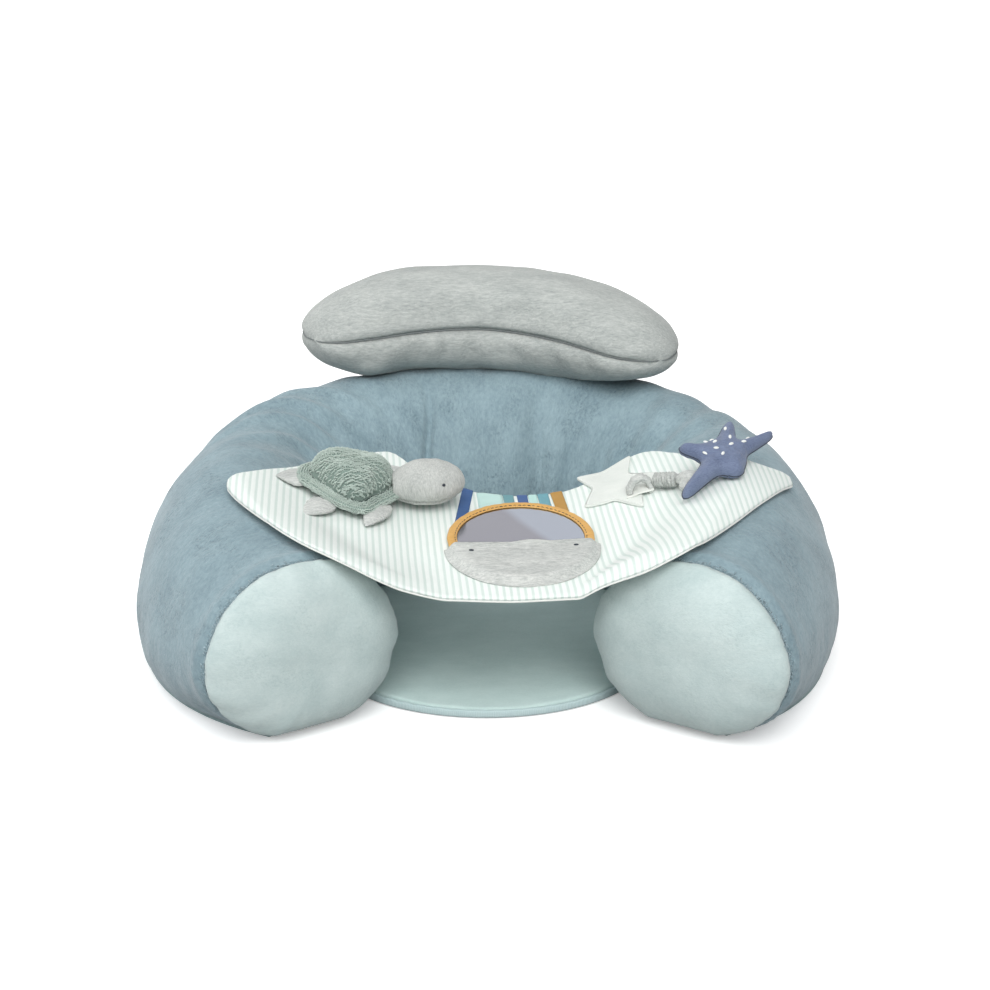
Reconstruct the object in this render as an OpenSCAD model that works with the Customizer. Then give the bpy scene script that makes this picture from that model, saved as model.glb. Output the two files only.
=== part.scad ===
// Baby floor seat: a stuffed horseshoe bolster on a padded base, with a lift-off play tray across
// its two arms and a lift-off crescent pillow on its back.
// Millimetres. X is the seat's width, the front faces -Y, and the floor is at z = 0.

/* [Bolster] */
// Overall width of the bolster
bolster_w = 626; // [590:2:670]
// Length of each front arm, from the widest place to its flat end
arm_l = 208; // [190:2:230]
// How far the crest at the back lies behind the widest place
back_l = 169; // [155:1:185]
// Distance from the middle to the centre of each arm's end
arm_end_x = 156; // [148:1:170]
// How far the stuffing pushes both arms' ends to the right
arm_shift = 8; // [0:1:12]
// Width of the bolster at its sides
side_w = 187; // [175:1:196]
// Width of the bolster at the middle of its back
back_w = 190; // [175:1:205]
// Width of each arm at its end
end_w = 174; // [160:1:182]
// Height of the bolster at its sides
side_h = 175; // [160:1:190]
// Height of the bolster at the middle of its back
back_h = 203; // [190:1:220]
// Height of each arm at its end
end_h = 147; // [135:1:158]
// How far each end panel bulges forward
end_bulge = 33; // [16:1:40]
// Thickness of the plush cover
cover_t = 3; // [2:0.5:4]

/* [Base] */
// Thickness of the base panel
base_t = 3; // [2.5:0.5:4]
// Thickness of the padding between the base panel and the filling
padding_t = 3.4; // [3.2:0.2:6]
// Thickness of the seat pad's foam
foam_t = 3.4; // [2:0.2:8]
// How far the seat pad reaches in front of the widest place
pad_front = 187; // [170:1:205]
// Width of the binding round the pad's front edge
binding_w = 3; // [2:0.5:4]
// Length of the zip under the back
zip_l = 250; // [200:5:270]

/* [Tray] */
// How far the tray's two tips together reach past the crests of the arms
tray_over = 49; // [42:1:60]
// Distance from the line of the tips to the tray's front edge
tray_front = 162; // [155:1:178]
// Distance from the line of the tips to the back of the lobes beside the cut-out
tray_back = 108; // [95:1:115]
// Thickness of the padded tray
tray_t = 5.6; // [4.6:0.2:8]
// How far the middle of the tray hangs below the crests of the arms
tray_sag = 33; // [26:1:38]
// How far the tray sits to the right
tray_shift = 23; // [14:1:28]
// How far in front of the widest place the line of the tips lies
tray_place = 63; // [56:1:70]
// Turn of the tray, seen from above
tray_turn = 5; // [1:0.5:7]
// Slope of the tray's middle, down to the front
tray_tilt = 8; // [6:0.5:10]

/* [Mirror] */
// Diameter of the mirror over its ring
mirror_d = 122; // [110:1:126]
// Width of the ring round the mirror
ring_w = 8; // [6:0.5:12]
// How far the mirror's centre lies in front of the line of the tips
mirror_place = 69; // [66:1:74]
// Length of the pocket that holds the mirror
pocket_l = 65; // [60:1:70]

/* [Turtle] */
// Length of the turtle's shell
shell_l = 90; // [80:1:100]
// Width of the turtle's shell
shell_w = 82; // [72:1:90]
// Height of the turtle to the top of its shell
turtle_h = 38; // [32:1:44]
// Length of the turtle's head
head_l = 62; // [54:1:68]

/* [Starfish] */
// Length of the starfish's longest leg
star_leg = 54; // [46:1:60]
// Thickness of the starfish
star_t = 16; // [12:1:20]
// Length of the gathered sleeve of the pull cord
sleeve_l = 22; // [18:1:26]

/* [Pillow] */
// Length of the pillow along its curve
pillow_l = 384; // [360:2:400]
// Width of the pillow, front to back
pillow_w = 150; // [135:1:160]
// Height of the pillow's top above its seam
pillow_up = 46.5; // [42:1:54]
// Depth of the pillow's underside below its seam
pillow_down = 40; // [36:1:46]
// Radius of the pillow's curve
pillow_r = 215; // [195:1:260]

/* [Hidden] */
gap = 0.3;             // clearance between soft pieces
filling_gap = 1.9;      // clearance of the filling in its cover, whose inside bends tightly
stitch = 0.1;          // clearance between layers that are sewn together
fine = 72;             // steps round a large circle
small = 16;            // steps round a small one

function mix(a, b, t) = a + (b - a) * t;
function power(v, p) = sign(v) * pow(abs(v), p);
function share(t) = min(1, max(0, t));
function ease(t) = (1 - cos(180 * share(t))) / 2;
function reversed(list) = [for (i = [len(list) - 1:-1:0]) list[i]];
function inside_out(rings) = [for (r = rings) reversed(r)];

// A solid through rings of points. Its caps are strips between facing points of the end rings.
module loft(rings) {
    m = len(rings[0]);
    last = (len(rings) - 1) * m;
    strip = [0:m / 2 - 2];
    first = [0:m / 2 - 1];      // the two halves are split the same way, seen from outside or inside
    second = [m / 2:m - 1];
    polyhedron(
        points = [for (r = rings, p = r) p],
        faces = concat(
            [for (j = strip) [j, j + 1, m - 2 - j]],
            [for (j = strip) [j, m - 2 - j, m - 1 - j]],
            [for (j = strip) [last + m - 2 - j, last + j + 1, last + j]],
            [for (j = strip) [last + m - 1 - j, last + m - 2 - j, last + j]],
            [for (i = [0:m:last - m], j = first) [i + j, i + j + m, i + j + 1]],
            [for (i = [0:m:last - m], j = first) [i + j + m, i + j + 1 + m, i + j + 1]],
            [for (i = [0:m:last - m], j = second) [i + j, i + j + m, i + (j + 1) % m + m]],
            [for (i = [0:m:last - m], j = second) [i + j, i + (j + 1) % m + m, i + (j + 1) % m]]));
}

// A sheet over a grid of points, from low to high above them
module sheet(grid, low, high) {
    loft(reversed([for (c = grid)
        concat([for (p = c) p + [0, 0, high]], [for (p = reversed(c)) p + [0, 0, low]])]));
}

// A stuffed form along X with a rounded section: bias moves its fattest place, and a lower
// bluntness makes its ends rounder
function plump_part(t, bias, bluntness) = max(0.05, pow(sin(180 * pow(t, bias)), bluntness));
module plump(l, w, up, down, bias = 1, bluntness = 0.75, rings = 10, sides = 12) {
    loft([for (i = [0:rings]) let (t = i / rings, part = plump_part(t, bias, bluntness))
        [for (k = [0:sides - 1]) let (a = 360 * k / sides)
            [l * t, w / 2 * part * cos(a), (sin(a) > 0 ? up : down) * part * sin(a)]]]);
}

// Points of an oval, or of the part of it between two angles
function oval(l, w, steps, from = 0, to = 360) =
    [for (i = [0:steps - (to - from < 360 ? 0 : 1)]) let (a = mix(from, to, i / steps))
        [l / 2 * cos(a), w / 2 * sin(a)]];

// A cushion with a flat underside on z = 0 and an oval plan
module crowned(l, w, h, rings = 5, sides = 24) {
    pole = 87;
    loft(reversed([for (i = [0:rings]) let (a = pole * i / rings)
        [for (k = [0:sides - 1]) let (b = -360 * k / sides)
            [l / 2 * cos(a) * cos(b), w / 2 * cos(a) * sin(b), h * sin(a)]]]));
}

// ---- Bolster ----
outer_foot = 0.95;     // half width on the base against the full one, outside
inner_foot = 0.82;     // the same, inside
end_foot = 0.36;       // the same at an arm's end, both sides
waist = 0.276;         // height of the widest place, as a share of the height
end_waist = 0.46;      // the same at an arm's end
crown = 1.18;          // how pointed the crest is; it is round at an arm's end
arm_bend = 2.1;        // how late the arms bend in
back_plan = 0.765;     // how square the back is in plan
arch_steps = 11;       // steps over a section
crest_step = 5;        // the step nearest to the crest
arm_steps = 8;         // sections along an arm
back_steps = 16;       // sections round the back
dome_steps = 5;        // rings of an end panel
dome_full = 0.66;      // below 1, how square its dome is from its edge to its middle
side_x = (bolster_w - side_w) / 2;

// Centre line, push, lean to the middle, half width and height of an arm at y, from 0 to -arm_l
function arm_part(y) = share(-y / arm_l);
function arm_x(y) = mix(side_x, arm_end_x, pow(arm_part(y), arm_bend));
function arm_push(y) = arm_shift * pow(arm_part(y), 2);
function arm_lean(y) = atan(arm_bend * (side_x - arm_end_x) / arm_l * pow(arm_part(y), arm_bend - 1));
function arm_half(y) = mix(side_w, end_w, arm_part(y)) / 2;
function arm_h(y) = mix(side_h, end_h, arm_part(y));
function arm_round(y) = pow(arm_part(y), 3);
// Half width and height at the back, at angle a from straight back
function back_half(a) = mix(side_w, back_w, pow(cos(a), 2)) / 2;
function back_height(a) = mix(side_h, back_h, pow(cos(a), 2));

// A section as [across, up], from its outer foot over the crest to its inner foot. rounding goes
// from 0 at the back to 1 at an arm's end, and the section is drawn in by t.
function arch(half, h, rounding, t) =
    let (first = -acos(mix(outer_foot, end_foot, rounding)),
         last = 180 + acos(mix(inner_foot, end_foot, rounding)),
         waist_z = h * mix(waist, end_waist, rounding),
         fall = waist_z - base_t - t)
    [for (k = [0:arch_steps]) let (a = mix(first, last, k / arch_steps),
        z = a < 0 ? waist_z - fall * sin(a) / sin(first)
          : a > 180 ? waist_z - fall * sin(a) / sin(last)
          : waist_z + (h - t - waist_z) * pow(sin(a), mix(crown, 1, rounding)))
        [(half - t) * cos(a), z]];

// A section stood at [x, y] with its outside towards [dx, dy]
function stood(x, y, dx, dy, section) = [for (p = section) [x + dx * p[0], y + dy * p[0], p[1]]];
function arm_section(side, y, t) =
    stood(side * arm_x(y) + arm_push(y), y, side * cos(arm_lean(y)), -sin(arm_lean(y)),
        arch(arm_half(y), arm_h(y), arm_round(y), t));
function back_section(a, t) =
    stood(side_x * power(sin(a), back_plan), back_l * power(cos(a), back_plan), sin(a), cos(a),
        arch(back_half(a), back_height(a), 0, t));
function stations(t) = concat(
    [for (i = [arm_steps:-1:1]) arm_section(-1, -arm_l * i / arm_steps, t)],
    [for (i = [0:back_steps]) back_section(mix(-90, 90, i / back_steps), t)],
    [for (i = [1:arm_steps]) arm_section(1, -arm_l * i / arm_steps, t)]);

// Rings of an end panel's dome, from its edge to its middle
function dome(side, t) =
    let (lean = arm_lean(-arm_l), x = side * arm_end_x + arm_shift, mid_z = end_h * end_waist, pole = 84)
    [for (i = [0:dome_steps])
        let (a = pole * i / dome_steps, out = (end_bulge - t) * sin(a), part = pow(cos(a), dome_full))
        [for (p = arch(end_w / 2, end_h, 1, t)) let (across = p[0] * part)
            [x + side * (cos(lean) * across - sin(lean) * out),
             -arm_l - sin(lean) * across - cos(lean) * out,
             mid_z + (p[1] - mid_z) * part]]];
function without_first(list) = [for (i = [1:len(list) - 1]) list[i]];

module ring_cover() {
    outer = stations(0);
    inner = stations(cover_t);
    color("#8FA9B3")
        loft([for (i = [0:len(outer) - 1]) concat(outer[i], reversed(inner[i]))]);
}

filling_z = base_t + padding_t + 2 * gap;
module ring_filling() {
    t = cover_t + filling_gap;
    rings = concat(reversed(without_first(dome(-1, t))), stations(t), without_first(dome(1, t)));
    color("#F2F2EE") loft([for (r = rings) [for (p = r) [p[0], p[1], max(p[2], filling_z)]]]);
}

module end_panel(side) {
    rings = concat(reversed(dome(side, cover_t)), dome(side, 0));
    color("#C0D0CD") loft(side > 0 ? rings : inside_out(rings));
}
module left_end_panel() { end_panel(-1); }
module right_end_panel() { end_panel(1); }

// ---- Base, zip and seat pad ----
pad_cover_t = 1.2;
binding_z = 0.8;       // how far the binding stays off the floor
pad_turn_y = -60;      // where the pad's round front begins
pad_clear = 6;         // room between the pad and the foot of the bolster
arc_steps = 24;
pad_top = base_t + foam_t + pad_cover_t + 2 * stitch;

// Where the bolster meets the base: its outer or inner foot, moved outwards from its crest line
function foot_line(inner, more) =
    let (k = inner ? arch_steps : 0)
    [for (s = stations(0)) let (across = [s[k][0] - s[crest_step][0], s[k][1] - s[crest_step][1]])
        [s[k][0], s[k][1]] + across / norm(across) * more];
// Front of the pad: half an oval between the arms
function pad_half(more) = arm_x(pad_turn_y) - inner_foot * arm_half(pad_turn_y) + more;
function pad_arc(more, from = 0, to = 180) =
    [for (i = [0:arc_steps]) let (a = mix(from, to, i / arc_steps))
        [arm_push(pad_turn_y) + pad_half(more) * cos(a),
         pad_turn_y - (pad_front + pad_turn_y + more) * sin(a)]];
function pad_outline(more) =
    concat([for (p = foot_line(true, -more)) if (p[1] > pad_turn_y) p], pad_arc(more));

zip_y = back_l;
zip_room_w = 24;       // width of the slot that the zip lies in
zip_room_end = 8;      // room past each end of the zip
coil_w = 2.2;
coil_split = 1.6;      // room between the two rows for the slider's bridge
coil_h = 2;
zip_z = 2.4;           // underside of the rows
module zip_room(h) {
    translate([-zip_l / 2 - zip_room_end, zip_y - zip_room_w / 2, -1])
        cube([zip_l + 2 * zip_room_end, zip_room_w, h + 2]);
}
module base_panel() {
    color("#9DB4B4") difference() {
        linear_extrude(base_t) union() {
            polygon(concat(foot_line(false, 0), reversed(foot_line(true, 0))));
            polygon(pad_outline(2));
        }
        zip_room(base_t);
    }
}
module base_padding() {
    inset = cover_t + 2 * gap;
    color("#F4F4EE") difference() {
        translate([0, 0, base_t + gap]) linear_extrude(padding_t)
            polygon(concat(foot_line(false, -inset), reversed(foot_line(true, -inset))));
        zip_room(filling_z);
    }
}
module zip_tapes() {
    tape_w = (zip_room_w - coil_split) / 2 - coil_w - 2 * stitch;
    color("#8FA6AC") for (side = [-1, 1])
        translate([0, zip_y + side * (zip_room_w / 2 - stitch - tape_w / 2), zip_z + 1])
            cube([zip_l, tape_w, 0.6], center = true);
}
module zip_coils() {
    color("#7F969D") for (side = [-1, 1])
        translate([-zip_l / 2, zip_y + side * (coil_split + coil_w) / 2 - coil_w / 2, zip_z])
            cube([zip_l, coil_w, coil_h]);
}
slider_l = 10;
slider_w = 9;
plate_t = 1;
bridge_l = 3;
slider_x = zip_l / 2 - slider_l;
module zip_slider() {
    plate_low = zip_z - gap - plate_t;
    plate_high = zip_z + coil_h + gap;
    bridge_w = coil_split - 2 * gap;
    color("#AEB4B8") translate([slider_x, zip_y, 0]) union() {
        for (z = [plate_low, plate_high])
            translate([0, -slider_w / 2, z]) cube([slider_l, slider_w, plate_t]);
        translate([slider_l - bridge_l, -bridge_w / 2, plate_low])
            cube([bridge_l, bridge_w, plate_high - plate_low + plate_t]);
    }
}
module zip_stops() {
    stop_w = coil_split + 2 * coil_w;
    color("#AEB4B8") for (x = [-zip_l / 2 - 3.4, zip_l / 2 + 0.4])
        translate([x, zip_y - stop_w / 2, zip_z]) cube([3, stop_w, coil_h]);
}

module pad_layer(low, high) {
    translate([0, 0, low]) linear_extrude(high - low) polygon(pad_outline(-pad_clear));
}
module seat_pad_foam() { color("#F4EFD8") pad_layer(base_t + stitch, base_t + stitch + foam_t); }
module seat_pad_cover() { color("#B8CCCB") pad_layer(pad_top - pad_cover_t, pad_top); }
module seat_pad_binding() {
    color("#B5CBCB") translate([0, 0, binding_z]) linear_extrude(pad_top - 0.4 - binding_z)
        polygon(concat(pad_arc(binding_w + 2 + gap, 28, 152), reversed(pad_arc(2 + gap, 28, 152))));
}

// ---- Tray ----
lift = 4.2;            // room for the fastening patches between the arms and the tray
plane_half = 76;       // half width of the tray's flat middle
tray_y = -tray_place;
tray_half = side_x + tray_over / 2;
tip_round = 0.994;     // how much of the half width the sheet reaches
tray_columns = 28;
tray_rows = 6;
facing_t = 1.2;        // thickness of the tray's top and backing cloth
laid = 0.7;            // clearance of what lies on the tray

// Height of an arm's surface at [x, y]
function crest_x(side, y) = side * arm_x(y) + arm_push(y);
function arm_top(x, y) =
    let (side = x < 0 ? -1 : 1,
         across = side * (x - crest_x(side, y)) * cos(arm_lean(y)) / arm_half(y),
         waist_z = arm_h(y) * mix(waist, end_waist, arm_round(y)))
    waist_z + (arm_h(y) - waist_z) * pow(max(0, 1 - across * across), mix(crown, 1, arm_round(y)) / 2);
// Height of the tray's underside: flat between the arms, then up to each crest and down outside it
function middle_z(y) = arm_h(tray_y) + lift - tray_sag + (y - tray_y) * tan(tray_tilt);
function under(x, y) =
    let (side = x < tray_shift ? -1 : 1, out = abs(x - tray_shift),
         crest = abs(crest_x(side, y) - tray_shift),
         t = share((out - plane_half) / (crest - plane_half)))
    max(arm_top(x, y) + lift, out > crest ? 0 : mix(middle_z(y), arm_h(y) + lift, mix(t, ease(t), 0.5)));
// A place on the tray from the middle of the line of its tips: p to the right, r to the back
function at(p, r) = [tray_shift + p * cos(tray_turn) - r * sin(tray_turn),
                     tray_y + p * sin(tray_turn) + r * cos(tray_turn)];
function below(p, r) = let (c = at(p, r)) [c[0], c[1], under(c[0], c[1])];
function slope(p, r) = atan((below(p + 10, r)[2] - below(p - 10, r)[2]) / 20);

// The tray's outline, followed by eye along the photograph: shares of the half width, then shares of the
// front's or the back's depth
front_marks = [[-1, 0.074], [-0.975, 0.191], [-0.943, 0.284], [-0.873, 0.469], [-0.807, 0.617], [-0.738, 0.741],
    [-0.668, 0.827], [-0.594, 0.886], [-0.512, 0.92], [-0.422, 0.941], [-0.328, 0.96], [-0.262, 0.969], [-0.164, 0.988],
    [-0.057, 1], [0.189, 1], [0.279, 0.994], [0.348, 0.985], [0.406, 0.969], [0.484, 0.932], [0.553, 0.87],
    [0.635, 0.753], [0.721, 0.623], [0.791, 0.5], [0.865, 0.352], [0.934, 0.198], [0.975, 0.105], [1, 0.062]];
back_marks = [[-1, 0.01], [-0.951, 0.028], [-0.881, 0.148], [-0.82, 0.287], [-0.75, 0.426], [-0.668, 0.574],
    [-0.586, 0.722], [-0.512, 0.852], [-0.459, 0.935], [-0.422, 0.963], [-0.402, 0.954], [-0.389, 0.9], [-0.352, 0.75],
    [-0.307, 0.611], [-0.242, 0.454], [-0.176, 0.333], [-0.143, 0.259], [-0.09, 0.194], [-0.041, 0.163],
    [0.012, 0.137], [0.066, 0.125], [0.123, 0.132], [0.176, 0.157], [0.238, 0.227], [0.295, 0.33], [0.328, 0.426],
    [0.361, 0.528], [0.393, 0.583], [0.422, 0.62], [0.455, 0.653], [0.504, 0.685], [0.537, 0.662], [0.578, 0.583],
    [0.615, 0.454], [0.656, 0.315], [0.697, 0.176], [0.738, 0.06], [0.779, -0.009], [0.807, -0.039], [0.848, -0.062],
    [0.893, -0.063], [0.947, -0.028], [0.984, 0.009], [1, 0.012]];
function front_edge(p) = -tray_front * lookup(p / tray_half, front_marks);
function back_edge(p) = tray_back * lookup(p / tray_half, back_marks);
tray_grid = [for (i = [0:tray_columns]) let (p = mix(-1, 1, i / tray_columns) * tip_round * tray_half)
    [for (j = [0:tray_rows]) below(p, mix(front_edge(p), back_edge(p), j / tray_rows))]];
module tray_backing() { color("#E6E4DC") sheet(tray_grid, 0, facing_t); }
module tray_wadding() { color("#FAFAF5") sheet(tray_grid, facing_t + stitch, tray_t - facing_t - stitch); }
module tray_top() { color("#DFE9E4") sheet(tray_grid, tray_t - facing_t, tray_t); }

// Fastening patches: soft loops on the crests of the arms, hooks under the tray
patch_t = 1.4;
left_patch = [1, 2];   // the columns of the tray's grid that each patch covers
right_patch = [23, 25];
patch_rows = [2, 5];
function patch_grid(columns) = [for (i = [columns[0]:columns[1]])
    [for (j = [patch_rows[0]:patch_rows[1]]) tray_grid[i][j]]];
module tray_hook_patches() {
    color("#D8DAD6") for (columns = [left_patch, right_patch])
        sheet(patch_grid(columns), -patch_t - stitch, -stitch);
}
module arm_loop_patches() {
    color("#A9BBC0") for (columns = [left_patch, right_patch])
        sheet([for (c = patch_grid(columns)) [for (p = c) [p[0], p[1], arm_top(p[0], p[1])]]],
            2 * gap, 2 * gap + patch_t);
}

// ---- Mirror and its pocket, on the tray's flat middle ----
module on_middle(p, r) {
    c = at(p, r);
    translate([c[0], c[1], middle_z(c[1]) + tray_t / cos(tray_tilt)])
        rotate([tray_tilt, 0, 0]) rotate([0, 0, tray_turn]) children();
}
mirror_r = mirror_d / 2;
ribbon_t = 0.5;
back_z = stitch + ribbon_t + gap;          // underside of the mirror, over the ribbons
back_t = 0.8;
face_t = 1.4;
ring_z = back_z + back_t + stitch;
ring_h = 3;
slot_h = ring_z + ring_h + 0.6;            // inner height of the pocket
pocket_t = 1.6;
pocket_wall = 3.5;
pocket_start = 13;                         // from the mirror's centre line to the pocket's mouth
eye_x = 41;                                // half the distance between the whale's eyes
eye_y = -27;
eye_r = 2;
module mirror_ring() {
    inner_r = mirror_r - ring_w;
    lip = 3;
    color("#D6A85E") on_middle(0, -mirror_place) translate([0, 0, ring_z]) rotate_extrude($fn = fine)
        polygon([[inner_r, face_t + stitch], [inner_r, ring_h - 0.4], [inner_r + 1.5, ring_h],
            [mirror_r - 1.5, ring_h], [mirror_r, ring_h - 1.2], [mirror_r, 0], [inner_r + lip, 0],
            [inner_r + lip, face_t + stitch]]);
}
module mirror_face() {
    color("#A9B0B8") on_middle(0, -mirror_place)
        translate([0, 0, ring_z]) cylinder(r = mirror_r - ring_w + 3 - stitch, h = face_t, $fn = fine);
}
module mirror_back() {
    color("#C9A05A") on_middle(0, -mirror_place)
        translate([0, 0, back_z]) cylinder(r = mirror_r - 1, h = back_t, $fn = fine);
}
module mirror_pocket() {
    room_r = mirror_r + 1;
    color("#C9CDCB") on_middle(0, -mirror_place) difference() {
        translate([0, -pocket_start, stitch]) linear_extrude(slot_h + pocket_t - stitch)
            polygon(oval(mirror_d + 2 * pocket_wall, 2 * pocket_l, fine / 2, 180, 360));
        translate([0, 0, -1]) cylinder(r = room_r, h = slot_h + 1, $fn = fine);
        translate([-room_r, 0, -1]) cube([2 * room_r, mirror_d, slot_h + 1]);
    }
}
module pocket_eyes() {
    color("#3A3F45") for (side = [-1, 1]) on_middle(0, -mirror_place)
        translate([eye_x * side, eye_y, slot_h + pocket_t + stitch])
            cylinder(r = eye_r, h = ribbon_t, $fn = small);
}

// Ribbons from the cut-out's edge to under the mirror: middle and width
module ribbon(p, w, shade) {
    columns = 2;
    rows = 5;
    tucked = -mirror_place + mirror_r * 0.6;
    color(shade) sheet([for (i = [0:columns]) let (q = p + w * (i / columns - 0.5))
        [for (j = [0:rows]) below(q, mix(tucked, back_edge(q) - 1, j / rows))]],
        tray_t + stitch, tray_t + stitch + ribbon_t);
}
module ribbon_royal() { ribbon(-36.5, 10, "#4E6E9A"); }
module ribbon_aqua() { ribbon(-19, 22, "#B7DCD7"); }
module ribbon_teal() { ribbon(-3, 9, "#739CA2"); }
module ribbon_navy() { ribbon(9, 9, "#567098"); }
module ribbon_mint() { ribbon(18, 7.5, "#C8DEDA"); }
module ribbon_sky() { ribbon(27, 9.5, "#75A3AE"); }
module ribbon_mustard() { ribbon(39, 10.5, "#B89154"); }

// ---- Star patch, tab and pull cord ----
felt_t = 1.2;
star_p = 88;
star_r = -12;
star_tip = 38;
star_dent = 17;
star_points = 30;
tab_p = 109;
tab_r = -10;
tab_z = tray_t + laid + felt_t + gap;
loop_r = 11;
loop_w = 8;
loop_t = 1.6;
sleeve_r = 6.3;
sleeve_ribs = 7;
elastic_r = 1.5;
bulb_l = 30;
bulb_w = 15;
cord_rise = 14;
cord_turn = -46;
function star_edge(a) = mix(star_dent, star_tip, pow(abs(((a + 360) % 72) - 36) / 36, 1.6));
module star_patch() {
    rings = [for (part = [0.05, 0.5, 1]) [for (i = [0:star_points - 1])
        let (a = -360 * i / star_points, reach = part * star_edge(a + 36))
        below(star_p + reach * cos(a + 18), star_r + reach * sin(a + 18))]];
    low = [0, 0, tray_t + laid];
    color("#EAF3EC") loft(concat([for (r = rings) [for (c = r) c + low + [0, 0, felt_t]]],
        reversed([for (r = rings) [for (c = r) c + low]])));
}
module cord_tab() {
    grid = [for (i = [-1:1]) [for (j = [-1:1]) below(tab_p + 12 * i, tab_r + 5 * j)]];
    color("#EEF2EE") sheet(grid, tab_z, tab_z + felt_t);
}
module on_tray(p, r, up) {
    c = below(p, r);
    translate(c + [0, 0, tray_t + up]) rotate([0, 0, tray_turn]) children();
}
module cord_loop() {
    color("#C6CAC7") on_tray(tab_p, tab_r, tab_z - tray_t + felt_t + 3 * gap)
        rotate([0, -slope(tab_p, tab_r), 0]) rotate([90, 0, 0]) translate([0, 0, -loop_w / 2])
            linear_extrude(loop_w) difference() {
                circle(r = loop_r, $fn = fine);
                circle(r = loop_r - loop_t, $fn = fine);
                translate([-2 * loop_r, -2 * loop_r]) square([4 * loop_r, 2 * loop_r]);
            }
}
// The cord's line, from the loop to the starfish
module along_cord(d) {
    on_tray(tab_p + loop_r + 1.8, tab_r, sleeve_r + 2.4)
        rotate([0, 0, cord_turn]) rotate([0, -cord_rise, 0]) translate([d, 0, 0]) children();
}
module pull_sleeve() {
    rings = 2 * sleeve_ribs;
    sides = 8;
    function rib(i) = sleeve_r * (i % 2 == 0 ? 1 : 0.84);
    function ring(x, r) = [for (k = [0:sides - 1]) let (a = 360 * k / sides) [x, r * cos(a), r * sin(a)]];
    color("#C8CBC8") along_cord(0) difference() {
        loft([for (i = [0:rings]) ring(sleeve_l * i / rings, rib(i))]);
        loft([for (x = [-1, sleeve_l + 1]) ring(x, elastic_r + gap)]);
    }
}
module pull_elastic() {
    color("#F0F0F0") along_cord(0) rotate([0, 90, 0]) cylinder(r = elastic_r, h = sleeve_l, $fn = small);
}
module cord_bulb() {
    color("#C2C5C3") difference() {
        along_cord(sleeve_l + gap) plump(bulb_l, bulb_w, bulb_w / 2, bulb_w / 2, 1, 0.6, 6, 10);
        starfish_form(gap);
    }
}

// ---- Starfish ----
star_lean = 25;        // how far it leans back
star_sides = 50;
leg_angles = [22, 88, 164, 238, 302];
leg_parts = [0.94, 0.8, 0.76, 1, 0.66];
body_part = 0.36;      // radius between the legs, against the longest leg
star_centre_p = 175;
star_centre_r = -33;
star_up = 13.6;
module starfish_frame() {
    on_tray(star_centre_p, star_centre_r, star_up) rotate([star_lean, 6, 0]) children();
}
function off_leg(a, k) = abs((a - leg_angles[k] + 900) % 360 - 180);
function starfish_edge(a) = star_leg * max([for (k = [0:4])
    mix(body_part, leg_parts[k], pow(max(0, cos(min(90, 2.4 * off_leg(a, k)))), 2.2))]);
function starfish_top(part, reach) = star_t / 2 * sqrt(1 - part * part) * (1.1 - 0.5 * reach / star_leg);
module starfish_form(more) {
    half = [for (part = [0.04, 0.45, 0.8, 1]) [for (i = [0:star_sides - 1])
        let (a = -360 * i / star_sides, reach = part * starfish_edge(a))
        [(reach + more) * cos(a), (reach + more) * sin(a), starfish_top(part, reach) + more]]];
    other = [for (i = [2:-1:0]) [for (p = half[i]) [p[0], p[1], -p[2]]]];
    starfish_frame() loft(concat(half, other));
}
module starfish_body() { color("#76828F") starfish_form(0); }
module starfish_stitches() {
    count = 10;
    color("#F2F4F2") starfish_frame() for (i = [0:count - 1]) {
        a = 137.5 * i;
        reach = 5 + 2 * i;
        height = starfish_top(reach / starfish_edge(a), reach);
        translate([reach * cos(a), reach * sin(a), height + 2 * gap + stitch])
            rotate([0, 0, 47 * i]) linear_extrude(ribbon_t) polygon(oval(4.6, 2.2, 10));
    }
}

// ---- Turtle ----
turtle_p = -141;
turtle_r = -2;
turtle_up = 1.2;       // how far the middle of its belly is off the tray
turtle_roll = 10;
turtle_pitch = 9;
belly_h = 8;
belly_in = 10;         // how far the belly lies inside the shell's rim
shell_in = 4;          // the same for the dome
rim_t = 3;
head_w = 44;
head_up = 21;
head_down = 17;
head_bias = 1.3;
head_blunt = 0.5;
head_x = shell_l / 2 - 9;
head_z = 14;           // height of its root over the turtle's underside
head_lift = 12;        // how far the head is raised, in degrees
eye_part = 0.72;       // how far along the head the eyes are
module turtle_frame() {
    on_tray(turtle_p, turtle_r, turtle_up) rotate([turtle_roll, turtle_pitch, 0]) children();
}
// The turtle's forms, each made larger by more where a smaller one is cut by it
module belly_form(more) {
    translate([0, 0, belly_h]) mirror([0, 0, 1])
        crowned(shell_l - 2 * belly_in + 2 * more, shell_w - 2 * belly_in + 2 * more, belly_h + more);
}
module rim_form(more) {
    translate([0, 0, belly_h + gap - more]) linear_extrude(rim_t + 2 * more)
        polygon(oval(shell_l + 2 * more, shell_w + 2 * more, 40));
}
dome_z = belly_h + rim_t + 2 * gap;
module shell_form(more) {
    inset = shell_in - more;
    translate([0, 0, dome_z - more])
        crowned(shell_l - 2 * inset, shell_w - 2 * inset, turtle_h - dome_z + 2 * more);
}
module turtle_belly() { color("#C7CAC5") turtle_frame() belly_form(0); }
module turtle_rim() { color("#8CA39C") turtle_frame() rim_form(0); }
module turtle_shell() { color("#8CA39C") turtle_frame() shell_form(0); }
module head_frame() {
    translate([head_x, 2, head_z]) rotate([0, -head_lift, 0]) children();
}
module turtle_head() {
    color("#C7CAC5") turtle_frame() difference() {
        head_frame() plump(head_l, head_w, head_up, head_down, head_bias, head_blunt, 12, 14);
        belly_form(gap);
        rim_form(gap);
        shell_form(gap);
    }
}
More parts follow.
